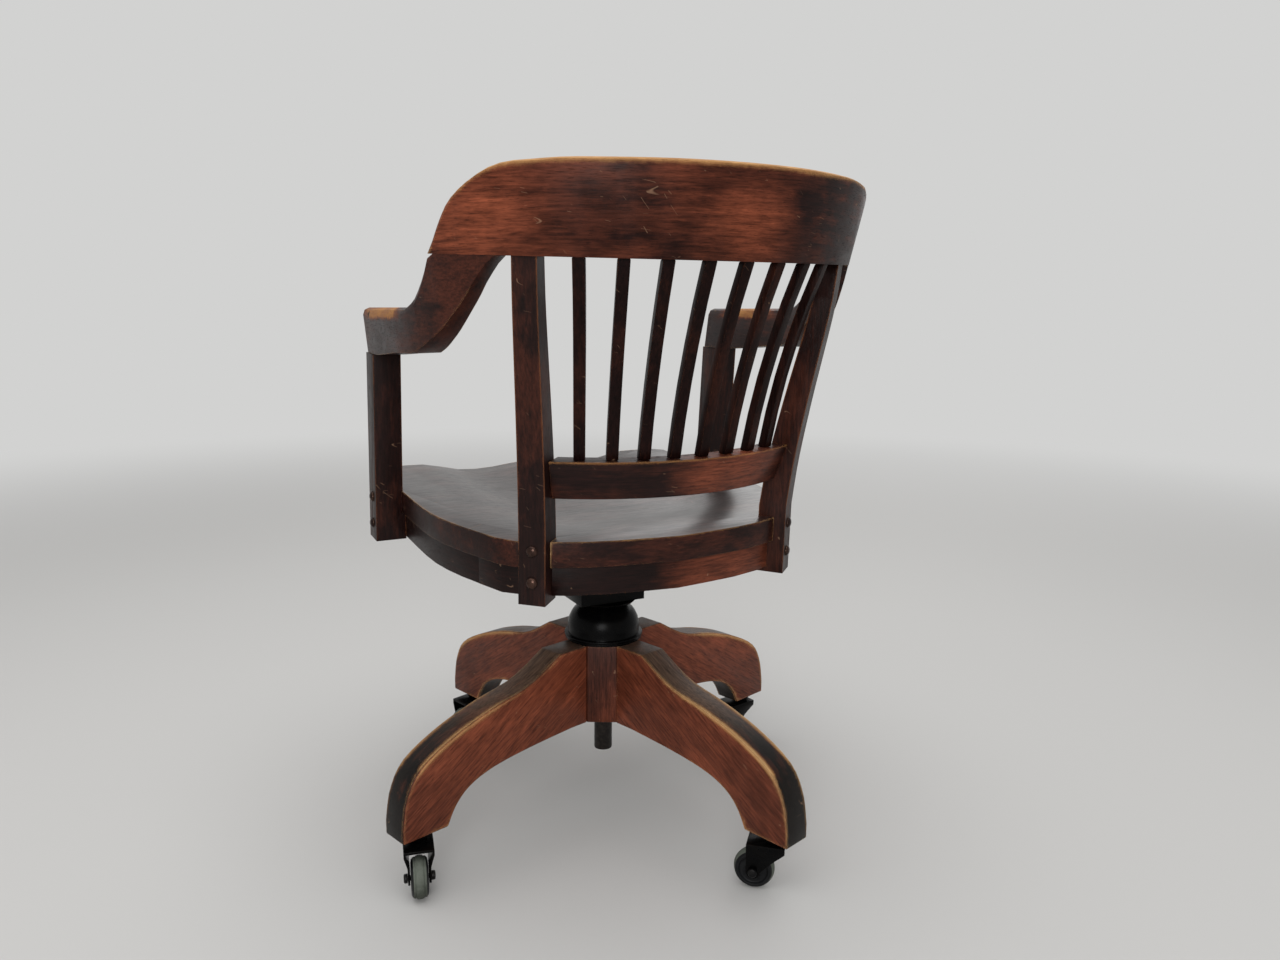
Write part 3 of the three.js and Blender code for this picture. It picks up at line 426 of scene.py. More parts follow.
# %% Noises of the grain
# Of each: the share of its scale that it keeps along the grain, and then its scale, detail,
# roughness and bend.
grain_noises = {
    "figure": (0.07, 70.0, 5.0, 0.65, 0.6),
    "streak": (0.08, 400.0, 4.0, 0.66, 0.0),
    "pore": (0.08, 1300.0, 2.0, 0.5, 0.0),
    "blotch": (0.5, 10.0, 4.0, 0.6, 0.0),
    "mottle": (0.45, 60.0, 4.0, 0.65, 0.0),
}
wear_noises = {
    "chip": (1.0, 150.0, 4.0, 0.7, 0.0),
    "reach": (1.0, 17.0, 3.0, 0.55, 0.0),
}
pore_range = (0.57, 0.68)
middle_grey = 0.5


def squeezed(along, share):
    """Scales that draw a pattern out along the named axes, such as "x" or "xy"."""
    return tuple(share if axis in along else 1.0 for axis in "xyz")


def drawn_noise(finish, place, along, share, *settings):
    return finish.noise(finish.stretch(place, squeezed(along, share)), *settings)


def noises(finish, place, along, table):
    return {name: drawn_noise(finish, place, along, *row) for name, row in table.items()}


def varied(level, grain, shares):
    """A level that swings to both sides with some of the noises, each by its own share."""
    for name, share in shares.items():
        level = level + (grain[name] - middle_grey) * share
    return level


print("grain of", len(grain_noises), "noises, wear of", len(wear_noises))

# %% [markdown]
# Stain isn't random everywhere: the crest is red at one end and near its middle, the rails
# only where a hand or the sun reached them. Such places are soft round spots given by a
# middle and a reach, and a noise makes their borders ragged. A spot is flattened, since the
# crest and the rails are low and long.

# %% Spots
spot_scales = (1.0, 1.0, 1.5)
border_noise = (0.35, 60.0, 4.0, 0.65, 0.0)
spot_full_share = 0.1
spot_end_share = 1.45


def spots(finish, place, rows):
    """1 inside soft spots with ragged borders, 0 outside them."""
    ragged = drawn_noise(finish, place, "xy", *border_noise) - middle_grey
    low_place = finish.stretch(place, spot_scales)
    whole = None
    for middle, reach in rows:
        low_middle = tuple(size * scale for size, scale in zip(middle, spot_scales))
        away = finish.distance(low_place, low_middle) + ragged * reach
        outside = finish.step(away, reach * spot_full_share, reach * spot_end_share)
        inside = 1.0 - outside
        whole = inside if whole is None else whole.most(inside)
    return whole


print("a spot ends at", spot_end_share, "of its reach")

# %% [markdown]
# Scratches are thin, nearly straight and lie in groups. Where a smooth noise, drawn out one
# way, crosses its middle value, it leaves just such a thin line, and a second noise lets
# only short lengths of it show. Curves laid on the surface would be sharper, but each would
# need its own place on a curved face.

# %% Scratches
thread_scales = (0.16, 0.16, 1.5)
thread_noise = (45.0, 0.0, 0.5, 0.0)
thread_width = 0.006
group_noise = (75.0, 1.0, 0.5, 0.0)
group_range = (0.66, 0.69)
scratch_turns = [(0.1, 0.12, 0.0), (0.5, 0.7, 0.4)]


def scratches(finish, place, turns, amount):
    settings = {"rotation_type": "EULER_XYZ"}
    turned = finish.node("ShaderNodeVectorRotate", settings, {"Vector": place, "Rotation": turns})
    thread = finish.noise(finish.stretch(turned, thread_scales), *thread_noise)
    group = finish.step(finish.noise(place, *group_noise) + amount, *group_range)
    return (1.0 - finish.step((thread - middle_grey).size(), 0.0, thread_width)) * group


print("scratches lie in", len(scratch_turns), "families")

# %% [markdown]
# Each kind of piece has its own wood: the slats are the darkest, the crest is redder, and
# the legs are the reddest. Eleven copies of one long function would be hard to keep alike,
# so a small class holds what one finish asks for. Whatever isn't named takes the usual
# value of this chair.

# %% What a wooden finish asks for
# Lengths and places are in metres, and shares run from 0 to 1.
usual_wood = {
    "redness": 0.3,
    "change": 0.25,
    "tone": 1.0,
    "shift": 0.0,
    "gloss": 0.38,
    "sheen": 0.15,
    "polished_top": 0.0,
    "wear": 0.25,
    "edge_reach": 0.008,
    "deepest": 1.0,
    "guarded_under": 0.8,
    "guarded_edges": None,
    "joined_over": None,
    "rubbed_top": 0.0,
    "bared_over": None,
    "leg_turn": None,
    "mirror": False,
    "red_spots": [],
    "dark_spots": [],
    "rubbed_spots": [],
    "scratched_spots": [],
    "plugs": [],
}


class Wood:
    """The wishes of one wooden finish. Its grain runs along the named axes."""

    def __init__(self, name, along, **wishes):
        self.name = name
        self.along = along
        for wish, usual in usual_wood.items():
            setattr(self, wish, wishes.get(wish, usual))


print(len(usual_wood), "wishes to a wooden finish")

# %% [markdown]
# The four legs share one shape, each turned about the column. Their grain runs down their
# slope, so a leg's finish first turns every place into the leg's own: out from the column,
# across, and up. The two legs on one line then share a finish.

# %% Places on a piece
column = (0.0, -0.014643, 0.0)
leg_slope = math.radians(33)


def both_hands(finish, place):
    """The same pattern on the left piece and the right one."""
    inputs = {
        "X": finish.part(place, "X").size(),
        "Y": finish.part(place, "Y"),
        "Z": finish.part(place, "Z"),
    }
    return finish.node("ShaderNodeCombineXYZ", {}, inputs)


class Sheet:
    """One wooden finish while it is made: its places and the noises that its steps share."""

    def __init__(self, wood):
        self.wood = wood
        self.material, self.finish = new_finish(wood.name)
        self.place = self.finish.own_place()
        self.seen = both_hands(self.finish, self.place) if wood.mirror else self.place
        self.height = self.finish.part(self.place, "Z")
        self.facing = self.finish.node("ShaderNodeTexCoord", {}, {}, "Normal")
        self.out = None
        laid = self.place if wood.leg_turn is None else self.leg_place()
        moved = self.finish.vector("ADD", laid, (wood.shift, wood.shift, wood.shift))
        self.grain = noises(self.finish, moved, wood.along, grain_noises)
        self.grain["pore"] = self.finish.step(self.grain["pore"], *pore_range)
        self.grain.update(noises(self.finish, self.place, wood.along, wear_noises))

    def leg_place(self):
        """The leg's own place, with the way out kept and the grain laid down the slope."""
        centred = self.finish.vector("SUBTRACT", self.place, column)
        own = self.finish.spun(centred, "Z_AXIS", -self.wood.leg_turn)
        own = both_hands(self.finish, own)
        self.out = self.finish.part(own, "X")
        return self.finish.spun(own, "Y_AXIS", -leg_slope)

    def spots(self, rows):
        return spots(self.finish, self.seen, rows)


print("leg grain slopes", round(math.degrees(leg_slope)), "degrees")

# %% [markdown]
# The stain itself. The blotches choose between the dark and the red stain, spots add more
# of either, and figure, streaks and mottling make the result lighter and darker. On a leg
# only the sides are red. Its top is dusty near the column, in a colour light enough to
# stand also for a painted sheen, and black with handling and soot at the far end, where
# shoes rest. The whole leg is painted lighter near the column and darker further out:
# painted light and shade.

# %% Stained wood
red_range = (0.44, 0.66)
red_shares = {"figure": 0.5, "mottle": 0.3}
dark_spot_share = 0.3
tone_level = 0.89
tone_shares = {"figure": 0.3, "streak": 2.3, "mottle": 0.85, "blotch": 0.4}
pore_dark_share = 0.4
leg_side_range = (0.5, 0.9)
leg_soot_range = (0.17, 0.29)
leg_red_share = 0.3
# Painted light and shade along a leg: its level near the column, and where and how much it darkens
# further out.
leg_painted_light = 1.18
leg_painted_shade_range = (0.18, 0.3)
leg_painted_shade_share = 0.3


def stain_colour(sheet, red):
    wood = sheet.wood
    redness = wood.redness + (red - middle_grey) * wood.change
    if wood.red_spots:
        redness = redness + sheet.spots(wood.red_spots) * (1.0 - wood.redness)
    if wood.dark_spots:
        redness = redness - sheet.spots(wood.dark_spots) * dark_spot_share
    return sheet.finish.mix(redness, dark_stain, red_stain)


def leg_colour(sheet, red, stain):
    """Red sides, and a top that goes from dusty, with a painted sheen, to sooty."""
    finish = sheet.finish
    faced = finish.spun(sheet.facing, "Z_AXIS", -sheet.wood.leg_turn)
    side = finish.step(finish.part(faced, "Y").size(), *leg_side_range)
    soot = finish.step(sheet.out, *leg_soot_range)
    top = finish.mix(soot, dusty_sheen_stain, sooty_stain)
    top = finish.mix((red - middle_grey) * leg_red_share, top, red_stain)
    return finish.mix(side, top, stain)


def stained_wood(sheet):
    finish = sheet.finish
    grain = sheet.grain
    red = finish.step(varied(grain["blotch"], grain, red_shares), *red_range)
    stain = stain_colour(sheet, red)
    tone = varied(tone_level, grain, tone_shares)
    if sheet.out is not None:
        stain = leg_colour(sheet, red, stain)
        # Painted light and shade: the leg is lighter near the column and darker further out.
        tone = tone * (leg_painted_light - finish.step(sheet.out, *leg_painted_shade_range) * leg_painted_shade_share)
    stained = finish.shade(stain, tone * sheet.wood.tone)
    return finish.shade(stained, 1.0 - grain["pore"] * pore_dark_share)


print("the stain's tone swings with", ", ".join(tone_shares))

# %% Scratched wood
scratch_share = 0.36
more_scratches_share = 0.16


def scratch_mask(sheet):
    """Two families of scratches that cross, and more of them in the scratched spots."""
    amount = 0.0
    if sheet.wood.scratched_spots:
        amount = sheet.spots(sheet.wood.scratched_spots) * more_scratches_share
    first, second = scratch_turns
    mask = scratches(sheet.finish, sheet.place, first, amount)
    return mask.most(scratches(sheet.finish, sheet.place, second, amount))


# %% [markdown]
# Edges wear first. The Bevel node gives the way a rounded edge would face; the more that
# differs from the face's own way, the nearer the edge. A need, made of noise, decides how
# near is near enough, so the worn line is broken and uneven. Undersides need more, since
# no hand reaches them, and so do edges that a neighbour guards.

# %% Worn edges
edge_gain = 3.4
under_range = (-0.5, 0.1)
need_shares = {"reach": 1.9, "chip": 1.2}
least_need = 0.1
level_range = (0.25, 0.5)
guard = 2.0
joint_fade = 0.02
rub_range = (0.0, 0.12)
band_start_range = (0.15, 0.21)
band_end_range = (0.29, 0.33)
band_share = 0.75
hub_fade_range = (0.1, 0.04)


def guarded(sheet, need, upward):
    """More need where a neighbour keeps hands and cloth off the edge."""
    wood = sheet.wood
    level = sheet.finish.step(upward.size(), *level_range)
    if wood.guarded_edges == "level":
        need = need + level * guard
    if wood.guarded_edges == "upright":
        need = need + (1.0 - level) * guard
    if wood.joined_over:
        joint_range = (wood.joined_over, wood.joined_over + joint_fade)
        need = need + sheet.finish.step(sheet.height, *joint_range) * guard
    return need


def leg_need(sheet):
    """Less need on the shoulder of a leg, where shoes scuff it, and more at the column."""
    start = sheet.finish.step(sheet.out, *band_start_range)
    end = 1.0 - sheet.finish.step(sheet.out, *band_end_range)
    return sheet.finish.step(sheet.out, *hub_fade_range) - start * end * band_share


def worn_depth(sheet, edge, upward, rubbed):
    """How far the stain is worn through: 0 or less is not at all."""
    finish = sheet.finish
    wood = sheet.wood
    need = varied(1.0 - wood.wear, sheet.grain, need_shares)
    need = need + (1.0 - finish.step(upward, *under_range)) * wood.guarded_under
    need = guarded(sheet, need, upward)
    if rubbed is not None:
        need = need - rubbed
    if sheet.out is not None:
        need = need + leg_need(sheet)
    return (edge * edge_gain - need.most(least_need)).least(wood.deepest)


print("the wear swings with", ", ".join(need_shares))

# %% [markdown]
# Two places are worn bare over more than an edge: the crest's rounded top, and the front of
# each arm's top, where hands lie. The first is found by how much the rounded surface faces
# up, the second by its height on the arm, and both get uneven borders from the same noises.

# %% Bared tops
top_shares = {"chip": 0.4, "reach": 0.6}
top_range = (0.3, 0.62)
crest_end_range = (0.75, 0.79)
top_depth_share = 0.4
strip_swings = {"chip": 0.01, "reach": 0.012}
strip_fade = 0.006
strip_range = (0.1, 0.6)
strip_rub_level = 0.9
strip_rub_shares = {"mottle": 0.9}
strip_depth_level = 0.2
strip_depth_shares = {"mottle": 0.3}


def bared_top(sheet, upward, rub, depth):
    finish = sheet.finish
    bared = finish.step(varied(upward, sheet.grain, top_shares), *top_range)
    bared = bared * sheet.wood.rubbed_top * finish.step(sheet.height, *crest_end_range)
    return rub.most(bared), depth.most(bared * top_depth_share)


def bared_strip(sheet, rubbed, rub, depth):
    finish = sheet.finish
    grain = sheet.grain
    height = varied(sheet.height, grain, strip_swings)
    over = sheet.wood.bared_over
    bared = finish.step(height, over, over + strip_fade) * finish.step(rubbed, *strip_range)
    rub = rub.most(bared * varied(strip_rub_level, grain, strip_rub_shares))
    return rub, depth.most(bared * varied(strip_depth_level, grain, strip_depth_shares))


print("the crest's top is bare above", crest_end_range[-1], "m")

# %% Golden wood under the stain
golden_range = (0.04, 0.26)
bright_range = (0.26, 0.6)
bright_shares = {"streak": 0.2}
golden_level = 1.0
golden_shares = {"streak": 0.8}
golden_share = 0.95


def golden_wood(sheet, depth):
    """A thin red rim first, then golden wood, then bright wood where the wear is deep."""
    finish = sheet.finish
    golden = finish.mix(finish.step(depth, *golden_range), thin_stain, rubbed_wood)
    bright = finish.step(varied(depth, sheet.grain, bright_shares), *bright_range)
    golden = finish.mix(bright, golden, bright_rubbed_wood)
    return finish.shade(golden, varied(golden_level, sheet.grain, golden_shares))


def rubbed_through(sheet):
    """How much bare wood shows, from 0 to 1, and its colour."""
    wood = sheet.wood
    rubbed = sheet.spots(wood.rubbed_spots) if wood.rubbed_spots else None
    edge, turned = sheet.finish.near_edge(wood.edge_reach)
    upward = sheet.finish.part(turned, "Z")
    depth = worn_depth(sheet, edge, upward, rubbed)
    rub = sheet.finish.step(depth, *rub_range)
    if wood.rubbed_top:
        rub, depth = bared_top(sheet, upward, rub, depth)
    if wood.bared_over:
        rub, depth = bared_strip(sheet, rubbed, rub, depth)
    return rub, golden_wood(sheet, depth)


# %% Plug holes, painted as shade
# How the painted shade in a plug's hole fades: its dark core, and the light it keeps.
hole_shade_inner_share = 0.7
hole_shade_light_share = 0.06


def paint_hole_shade(sheet, colour):
    """Painted shade: small dark rounds that stand for the hole of a lost plug, which the mesh
    lacks.
    """
    for middle, reach in sheet.wood.plugs:
        away = sheet.finish.distance(sheet.seen, middle)
        outside = sheet.finish.step(away, reach * hole_shade_inner_share, reach)
        light = hole_shade_light_share + outside * (1.0 - hole_shade_light_share)
        colour = sheet.finish.shade(colour, light)
    return colour


# %% [markdown]
# Last the varnish. It is dull where wood is bare and in the pores, and the grain stands a
# little proud, which a Bump node shows. The seat's top is polished by trousers: a coat over
# the wood gives it the pale sheen of the picture, and streaks make that sheen uneven.

# %% Varnish
rough_shares = {"mottle": 0.3}
pore_rough_share = 0.15
rub_rough_share = 0.2
scratch_rough_share = 0.15
relief_shares = {"streak": 0.5, "figure": 0.25, "pore": -0.5, "mottle": 0.2}
scratch_relief_share = 0.5
bump_strength = 0.3
bump_height = 0.0005
top_facing_range = (0.6, 0.95)
dull_share = 0.7
polish_level = 0.85
polish_shares = {"streak": 1.2, "mottle": 0.6, "blotch": 0.5}
coat_gloss = 0.3
coat_bending = 1.58


def bumped(finish, relief, strength, height):
    inputs = {"Strength": strength, "Distance": height, "Height": relief}
    return finish.node("ShaderNodeBump", {}, inputs)


def varnish_gloss(sheet, rub, scratch):
    rough = varied(sheet.wood.gloss, sheet.grain, rough_shares)
    rough = rough + sheet.grain["pore"] * pore_rough_share
    return rough + rub * rub_rough_share + scratch * scratch_rough_share


def seat_polish(sheet, rub):
    upward = sheet.finish.part(sheet.facing, "Z")
    polish = sheet.finish.step(upward, *top_facing_range) * (1.0 - rub * dull_share)
    polish = polish * varied(polish_level, sheet.grain, polish_shares)
    return polish * sheet.wood.polished_top


# %% A whole wooden finish
def wood_finish(wood):
    sheet = Sheet(wood)
    finish = sheet.finish
    scratch = scratch_mask(sheet)
    stained = finish.mix(scratch * scratch_share, stained_wood(sheet), pale_scratch)
    rub, golden = rubbed_through(sheet)
    relief = varied(0.0, sheet.grain, relief_shares) - scratch * scratch_relief_share
    inputs = {
        "Base Color": paint_hole_shade(sheet, finish.mix(rub * golden_share, stained, golden)),
        "Roughness": varnish_gloss(sheet, rub, scratch),
        "Normal": bumped(finish, relief, bump_strength, bump_height),
        "Specular IOR Level": wood.sheen,
    }
    if wood.polished_top:
        inputs["Coat Weight"] = seat_polish(sheet, rub)
        inputs["Coat Roughness"] = coat_gloss
        inputs["Coat IOR"] = coat_bending
    skin = finish.node("ShaderNodeBsdfPrincipled", {}, inputs)
    finish.end("ShaderNodeOutputMaterial", skin)
    return sheet.material


print("a wooden finish is stain, scratches, worn edges and varnish")

# %% [markdown]
# The iron was brushed with black paint long ago. It is dark and softly glossy, a little
# lumpy, dusty brown where it is rough, and thin at the edges. Steel, bronze and rubber are
# the same idea with other colours, so one helper makes all the plain finishes from two
# colours, and a third for the edges: worn edges, and on the wheels and the axle heads
# also a painted highlight.

# %% Plain finishes
cloud_noise = (28.0, 4.0, 0.6, 0.0)
fine_detail = (3.0, 0.6, 0.0)
speck_detail = (2.0, 0.5, 0.0)
speck_scale_share = 3.0
speck_range = (0.6, 0.72)
dust_shares = {"fine": 0.4}
dust_range = (0.42, 0.68)
paint_level = 0.85
paint_shares = {"fine": 0.5}
speck_dark_share = 0.2
paint_rough_shares = {"cloud": 0.25}
speck_rough_share = 0.12
lump_shares = {"cloud": 0.6, "fine": 0.4}
lump_height = 0.0006
# Edges: worn on most finishes, and a painted highlight on the wheels and the axle heads.
wear_and_highlight_reach = 0.0016
wear_and_highlight_gain = 5.0
wear_and_highlight_shares = {"fine": 0.9, "cloud": 0.8}
wear_and_highlight_range = (0.5, 1.0)
wear_and_highlight_share = 0.8
wear_and_highlight_rough_share = 0.08


def plain_noises(finish, scale):
    place = finish.own_place()
    speck = finish.noise(place, scale * speck_scale_share, *speck_detail)
    return {
        "cloud": finish.noise(place, *cloud_noise),
        "fine": finish.noise(place, scale, *fine_detail),
        "speck": finish.step(speck, *speck_range),
    }


def edge_wear_and_highlight(finish, grain):
    edge, _ = finish.near_edge(wear_and_highlight_reach)
    return finish.step(varied(edge * wear_and_highlight_gain, grain, wear_and_highlight_shares), *wear_and_highlight_range)


def plain_finish(name, colour, dusty, metal, gloss, lump, sheen=0.2, worn=None, scale=160.0):
    material, finish = new_finish(name)
    grain = plain_noises(finish, scale)
    dust = finish.step(varied(grain["cloud"], grain, dust_shares), *dust_range)
    skin = finish.mix(dust, linear(colour), linear(dusty))
    tone = varied(paint_level, grain, paint_shares) - grain["speck"] * speck_dark_share
    skin = finish.shade(skin, tone)
    rough = varied(gloss, grain, paint_rough_shares) + grain["speck"] * speck_rough_share
    # The edge colour: worn paint or metal, and on the wheels and axle heads also a painted
    # highlight.
    if worn:
        thin = edge_wear_and_highlight(finish, grain)
        skin = finish.mix(thin * wear_and_highlight_share, skin, linear(worn))
        rough = rough - thin * wear_and_highlight_rough_share
    inputs = {
        "Base Color": skin,
        "Roughness": rough,
        "Normal": bumped(finish, varied(0.0, grain, lump_shares), lump, lump_height),
        "Metallic": metal,
        "Specular IOR Level": sheen,
    }
    shader = finish.node("ShaderNodeBsdfPrincipled", {}, inputs)
    finish.end("ShaderNodeOutputMaterial", shader)
    return material


# %% Paint, steel, bronze and rubber
black_paint = plain_finish(
    "black_paint", "030304", "090807", metal=0.0, gloss=0.27, lump=0.35, sheen=0.07, worn="1d1916")
# The axle heads' pale edges are worn steel, and also a painted highlight round each rim.
rivet_steel = plain_finish(
    "rivet_steel", "1a1a1b", "2a2826", metal=0.6, gloss=0.36, lump=0.2, worn="b0aca4")
old_steel = plain_finish(
    "old_steel", "2b2827", "3c3632", metal=0.7, gloss=0.42, lump=0.2, worn="77706a")
bolt_bronze = plain_finish(
    "bolt_bronze", "2c1d19", "4a342b", metal=0.8, gloss=0.24, lump=0.15, sheen=0.5, worn="a08468")
worn_tread = plain_finish(
    "worn_tread", "666b62", "454941", metal=0.0, gloss=0.7, lump=0.5, scale=240.0)
# The wheels' grey edges are painted highlights on their rims and rings.
wheel_black = plain_finish(
    "wheel_black", "0b0c0e", "17181a", metal=0.0, gloss=0.4, lump=0.3, worn="55565a")
print("plain finishes made")

# %% [markdown]
# A solid from the CAD file comes as bare triangles with hard facets. Real pieces have
# softened edges that catch the light, so each solid gets four modifiers: one joins the
# triangles' corners, one merges flat neighbours into whole faces, one rounds the edges, and
# one shades smoothly wherever the surface bends only a little. The crest gets a fifth, which
# grows it by half a millimetre and so closes the glue gap over the arms.

# %% Shading for a solid
merge_reach = 0.00002
sharp_turn = math.radians(34)


def mark_sharp(group, normals):
    """Shade smoothly across an edge, unless it bends more than the sharp turn."""
    angle = group.nodes.new("GeometryNodeInputMeshEdgeAngle")
    steep = group.nodes.new("ShaderNodeMath")
    steep.operation = "GREATER_THAN"
    steep.inputs[second_input].default_value = sharp_turn
    group.links.new(angle.outputs["Unsigned Angle"], steep.inputs[first_input])
    group.links.new(steep.outputs[0], normals.inputs["Edge Sharpness"])


def shading_group(name, sharp):
    group = bpy.data.node_groups.new(name, "GeometryNodeTree")
    for way in ("INPUT", "OUTPUT"):
        group.interface.new_socket("Geometry", in_out=way, socket_type="NodeSocketGeometry")
    start = group.nodes.new("NodeGroupInput")
    weld = group.nodes.new("GeometryNodeMergeByDistance")
    weld.inputs["Distance"].default_value = merge_reach
    smooth = group.nodes.new("GeometryNodeSetShadeSmooth")
    normals = group.nodes.new("GeometryNodeSetMeshNormal")
    normals.mode = "SHARPNESS"
    normals.inputs["Remove Custom"].default_value = True
    normals.inputs["Face Sharpness"].default_value = False
    end = group.nodes.new("NodeGroupOutput")
    group.links.new(start.outputs[0], weld.inputs["Geometry"])
    group.links.new(weld.outputs[0], smooth.inputs["Geometry"])
    group.links.new(smooth.outputs[0], normals.inputs["Mesh"])
    if sharp:
        mark_sharp(group, normals)
    group.links.new(normals.outputs[0], end.inputs[0])
    return group


joined = shading_group("joined_corners", False)
softened = shading_group("softened_shading", True)
print("shading groups made")

# %% Modifiers for a solid
flat_turn = math.radians(0.4)
round_turn = math.radians(30)
wood_steps = 3
small_steps = 2


def add_nodes(piece, name, group):
    modifier = piece.modifiers.new(name, "NODES")
    modifier.node_group = group


def grow(piece, amount):
    grown = piece.modifiers.new("grown", "DISPLACE")
    grown.strength = amount
    grown.mid_level = 0.0


def merge_faces(piece):
    merged = piece.modifiers.new("whole_faces", "DECIMATE")
    merged.decimate_type = "DISSOLVE"
    merged.angle_limit = flat_turn


def round_edges(piece, radius, steps):
    rounded = piece.modifiers.new("rounded", "BEVEL")
    rounded.width = radius
    rounded.segments = steps
    rounded.limit_method = "ANGLE"
    rounded.angle_limit = round_turn
    rounded.use_clamp_overlap = True
    rounded.miter_outer = "MITER_ARC"


def dress(name, finish, radius, steps=wood_steps, swell=0.0):
    piece = nodes[name]
    piece.data.materials.clear()
    piece.data.materials.append(finish)
    add_nodes(piece, "joined", joined)
    if swell:
        grow(piece, swell)
    merge_faces(piece)
    round_edges(piece, radius, steps)
    add_nodes(piece, "softened", softened)


print("edges that bend over", round(math.degrees(round_turn)), "degrees are rounded")

# %% [markdown]
# The crest rail and the two arms make one bow about the sitter's back. The crest's grain
# follows the bend: drawing the noise out along X and Y at once is near enough to that, and
# needs no turn of its own at every point. The crest's top is worn golden from end to end.
# Each arm is worn on top, just behind its front end, where a plug has left a small hole,
# painted as a dark round of shade. Both arms share one finish, mirrored.

# %% Crest rail and arms
crest_round = 0.0008
crest_swell = 0.00045
arm_round = 0.001
crest_red_spots = [((0.265, 0.21, 0.785), 0.075), ((0.0, 0.33, 0.78), 0.055)]
crest_dark_spots = [
    ((-0.075, 0.32, 0.8), 0.035),
    ((0.14, 0.3, 0.78), 0.09),
    ((-0.16, 0.28, 0.79), 0.11),
]
crest_scratched_spots = [((0.11, 0.318, 0.795), 0.03)]
arm_rubbed_spots = [((0.284, -0.03, 0.69), 0.085)]
# Painted shade: a dark round where a lost plug left its hole.
arm_plugs = [((0.288, -0.093, 0.6835), 0.0045)]


def crest_wood():
    return wood_finish(Wood(
        "crest_wood", "xy", redness=0.33, change=0.3, sheen=0.09, wear=0.15, edge_reach=0.014,
        guarded_under=2.0, rubbed_top=0.95, red_spots=crest_red_spots,
        dark_spots=crest_dark_spots, scratched_spots=crest_scratched_spots))


def arm_wood():
    return wood_finish(Wood(
        "arm_wood", "y", redness=0.12, change=0.2, tone=0.9, shift=0.7, wear=0.2, mirror=True,
        joined_over=0.71, bared_over=0.676, rubbed_spots=arm_rubbed_spots, plugs=arm_plugs))


def dress_arms():
    finish = arm_wood()
    for side in ("left", "right"):
        dress(f"arm_{side}", finish, arm_round)


dress("crest_rail", crest_wood(), crest_round, swell=crest_swell)
dress_arms()
print("dressed the crest rail and the arms")

# %% [markdown]
# The four posts and the eight slats stand upright, with the grain up their length. They are
# the darkest wood of the back and only thinly worn: a slat's edges are too fine to be
# rubbed deep, and the ends of a post are guarded by its neighbours.

# %% Posts and slats
post_round = 0.0016
slat_round = 0.0009


def post_wood():
    return wood_finish(Wood(
        "post_wood", "z", redness=0.08, change=0.18, tone=0.8, shift=1.3, wear=0.1,
        edge_reach=0.006, deepest=0.13, guarded_edges="level"))


def slat_wood():
    return wood_finish(Wood(
        "slat_wood", "z", redness=0.05, change=0.12, tone=0.55, shift=2.1, sheen=0.08, wear=0.1,
        edge_reach=0.0025, deepest=0.13, guarded_edges="level"))


def dress_posts():
    finish = post_wood()
    for end in ("back", "front"):
        for side in ("left", "right"):
            dress(f"{end}_post_{side}", finish, post_round)


def dress_slats():
    finish = slat_wood()
    names = [name for name in nodes if name.startswith("slat_")]
    for name in names:
        dress(name, finish, slat_round, steps=small_steps)
    return len(names)


dress_posts()
print("dressed the posts and", dress_slats(), "slats")

# %% [markdown]
# The lower rail and the four rails under the seat run from side to side. Their stain is
# nearly black at the sitter's left and red at the right of the middle, as in the picture.
# Only their long edges are worn, and their ends stand guarded between the posts.

# %% Rails
rail_round = 0.0016
apron_round = 0.0007
rail_red_spots = [((-0.06, 0.235, 0.51), 0.07), ((-0.02, 0.235, 0.51), 0.05)]
apron_red_spots = [((-0.07, 0.205, 0.39), 0.08), ((-0.02, 0.21, 0.39), 0.05)]


def rail_wood():
    return wood_finish(Wood(
        "rail_wood", "xy", redness=0.05, change=0.16, tone=0.85, shift=3.2, wear=0.3,
        deepest=0.3, guarded_edges="upright", red_spots=rail_red_spots))


def apron_wood(name, shift, red_spots):
    return wood_finish(Wood(
        name, "xy", redness=0.05, change=0.16, tone=0.66, shift=shift, wear=-0.3,
        deepest=0.2, guarded_edges="upright", red_spots=red_spots))


def dress_aprons():
    across = apron_wood("apron_wood", shift=5.3, red_spots=apron_red_spots)
    beside = apron_wood("side_wood", shift=6.1, red_spots=[])
    aprons = {"back": across, "front": across, "left": beside, "right": beside}
    for side, finish in aprons.items():
        dress(f"apron_{side}", finish, apron_round)


dress("lower_rail", rail_wood(), rail_round)
dress_aprons()
print("dressed the rails")

# %% [markdown]
# The seat is one broad board, glued up and hollowed for the sitter. Its grain runs from side
# to side, and its top shines where trousers have polished it.

# %% Seat board
seat_round = 0.0022


def seat_wood():
    return wood_finish(Wood(
        "seat_wood", "x", redness=0.1, change=0.16, tone=0.75, shift=4.4, wear=0.12,
        polished_top=1.0))


dress("seat_board", seat_wood(), seat_round)
print("dressed the seat board")

# %% [markdown]
# The base is an upright hub with four curved legs let into it. The legs were cut from
# straight boards, so their grain is straight and runs down the slope. They are the reddest
# wood of the chair, and each pair that lies on one line has its own draw of the noise.

# %% Base
hub_round = 0.0016
leg_round = 0.0022
first_leg_turn = math.radians(17.745)
quarter_turn = math.pi / 2


def hub_wood():
    return wood_finish(Wood("hub_wood", "z", redness=0.35, shift=7.7, wear=0.2))


def leg_wood(name, redness, shift, turn):
    return wood_finish(Wood(
        name, "x", redness=redness, shift=shift, wear=0.3, edge_reach=0.016, leg_turn=turn))


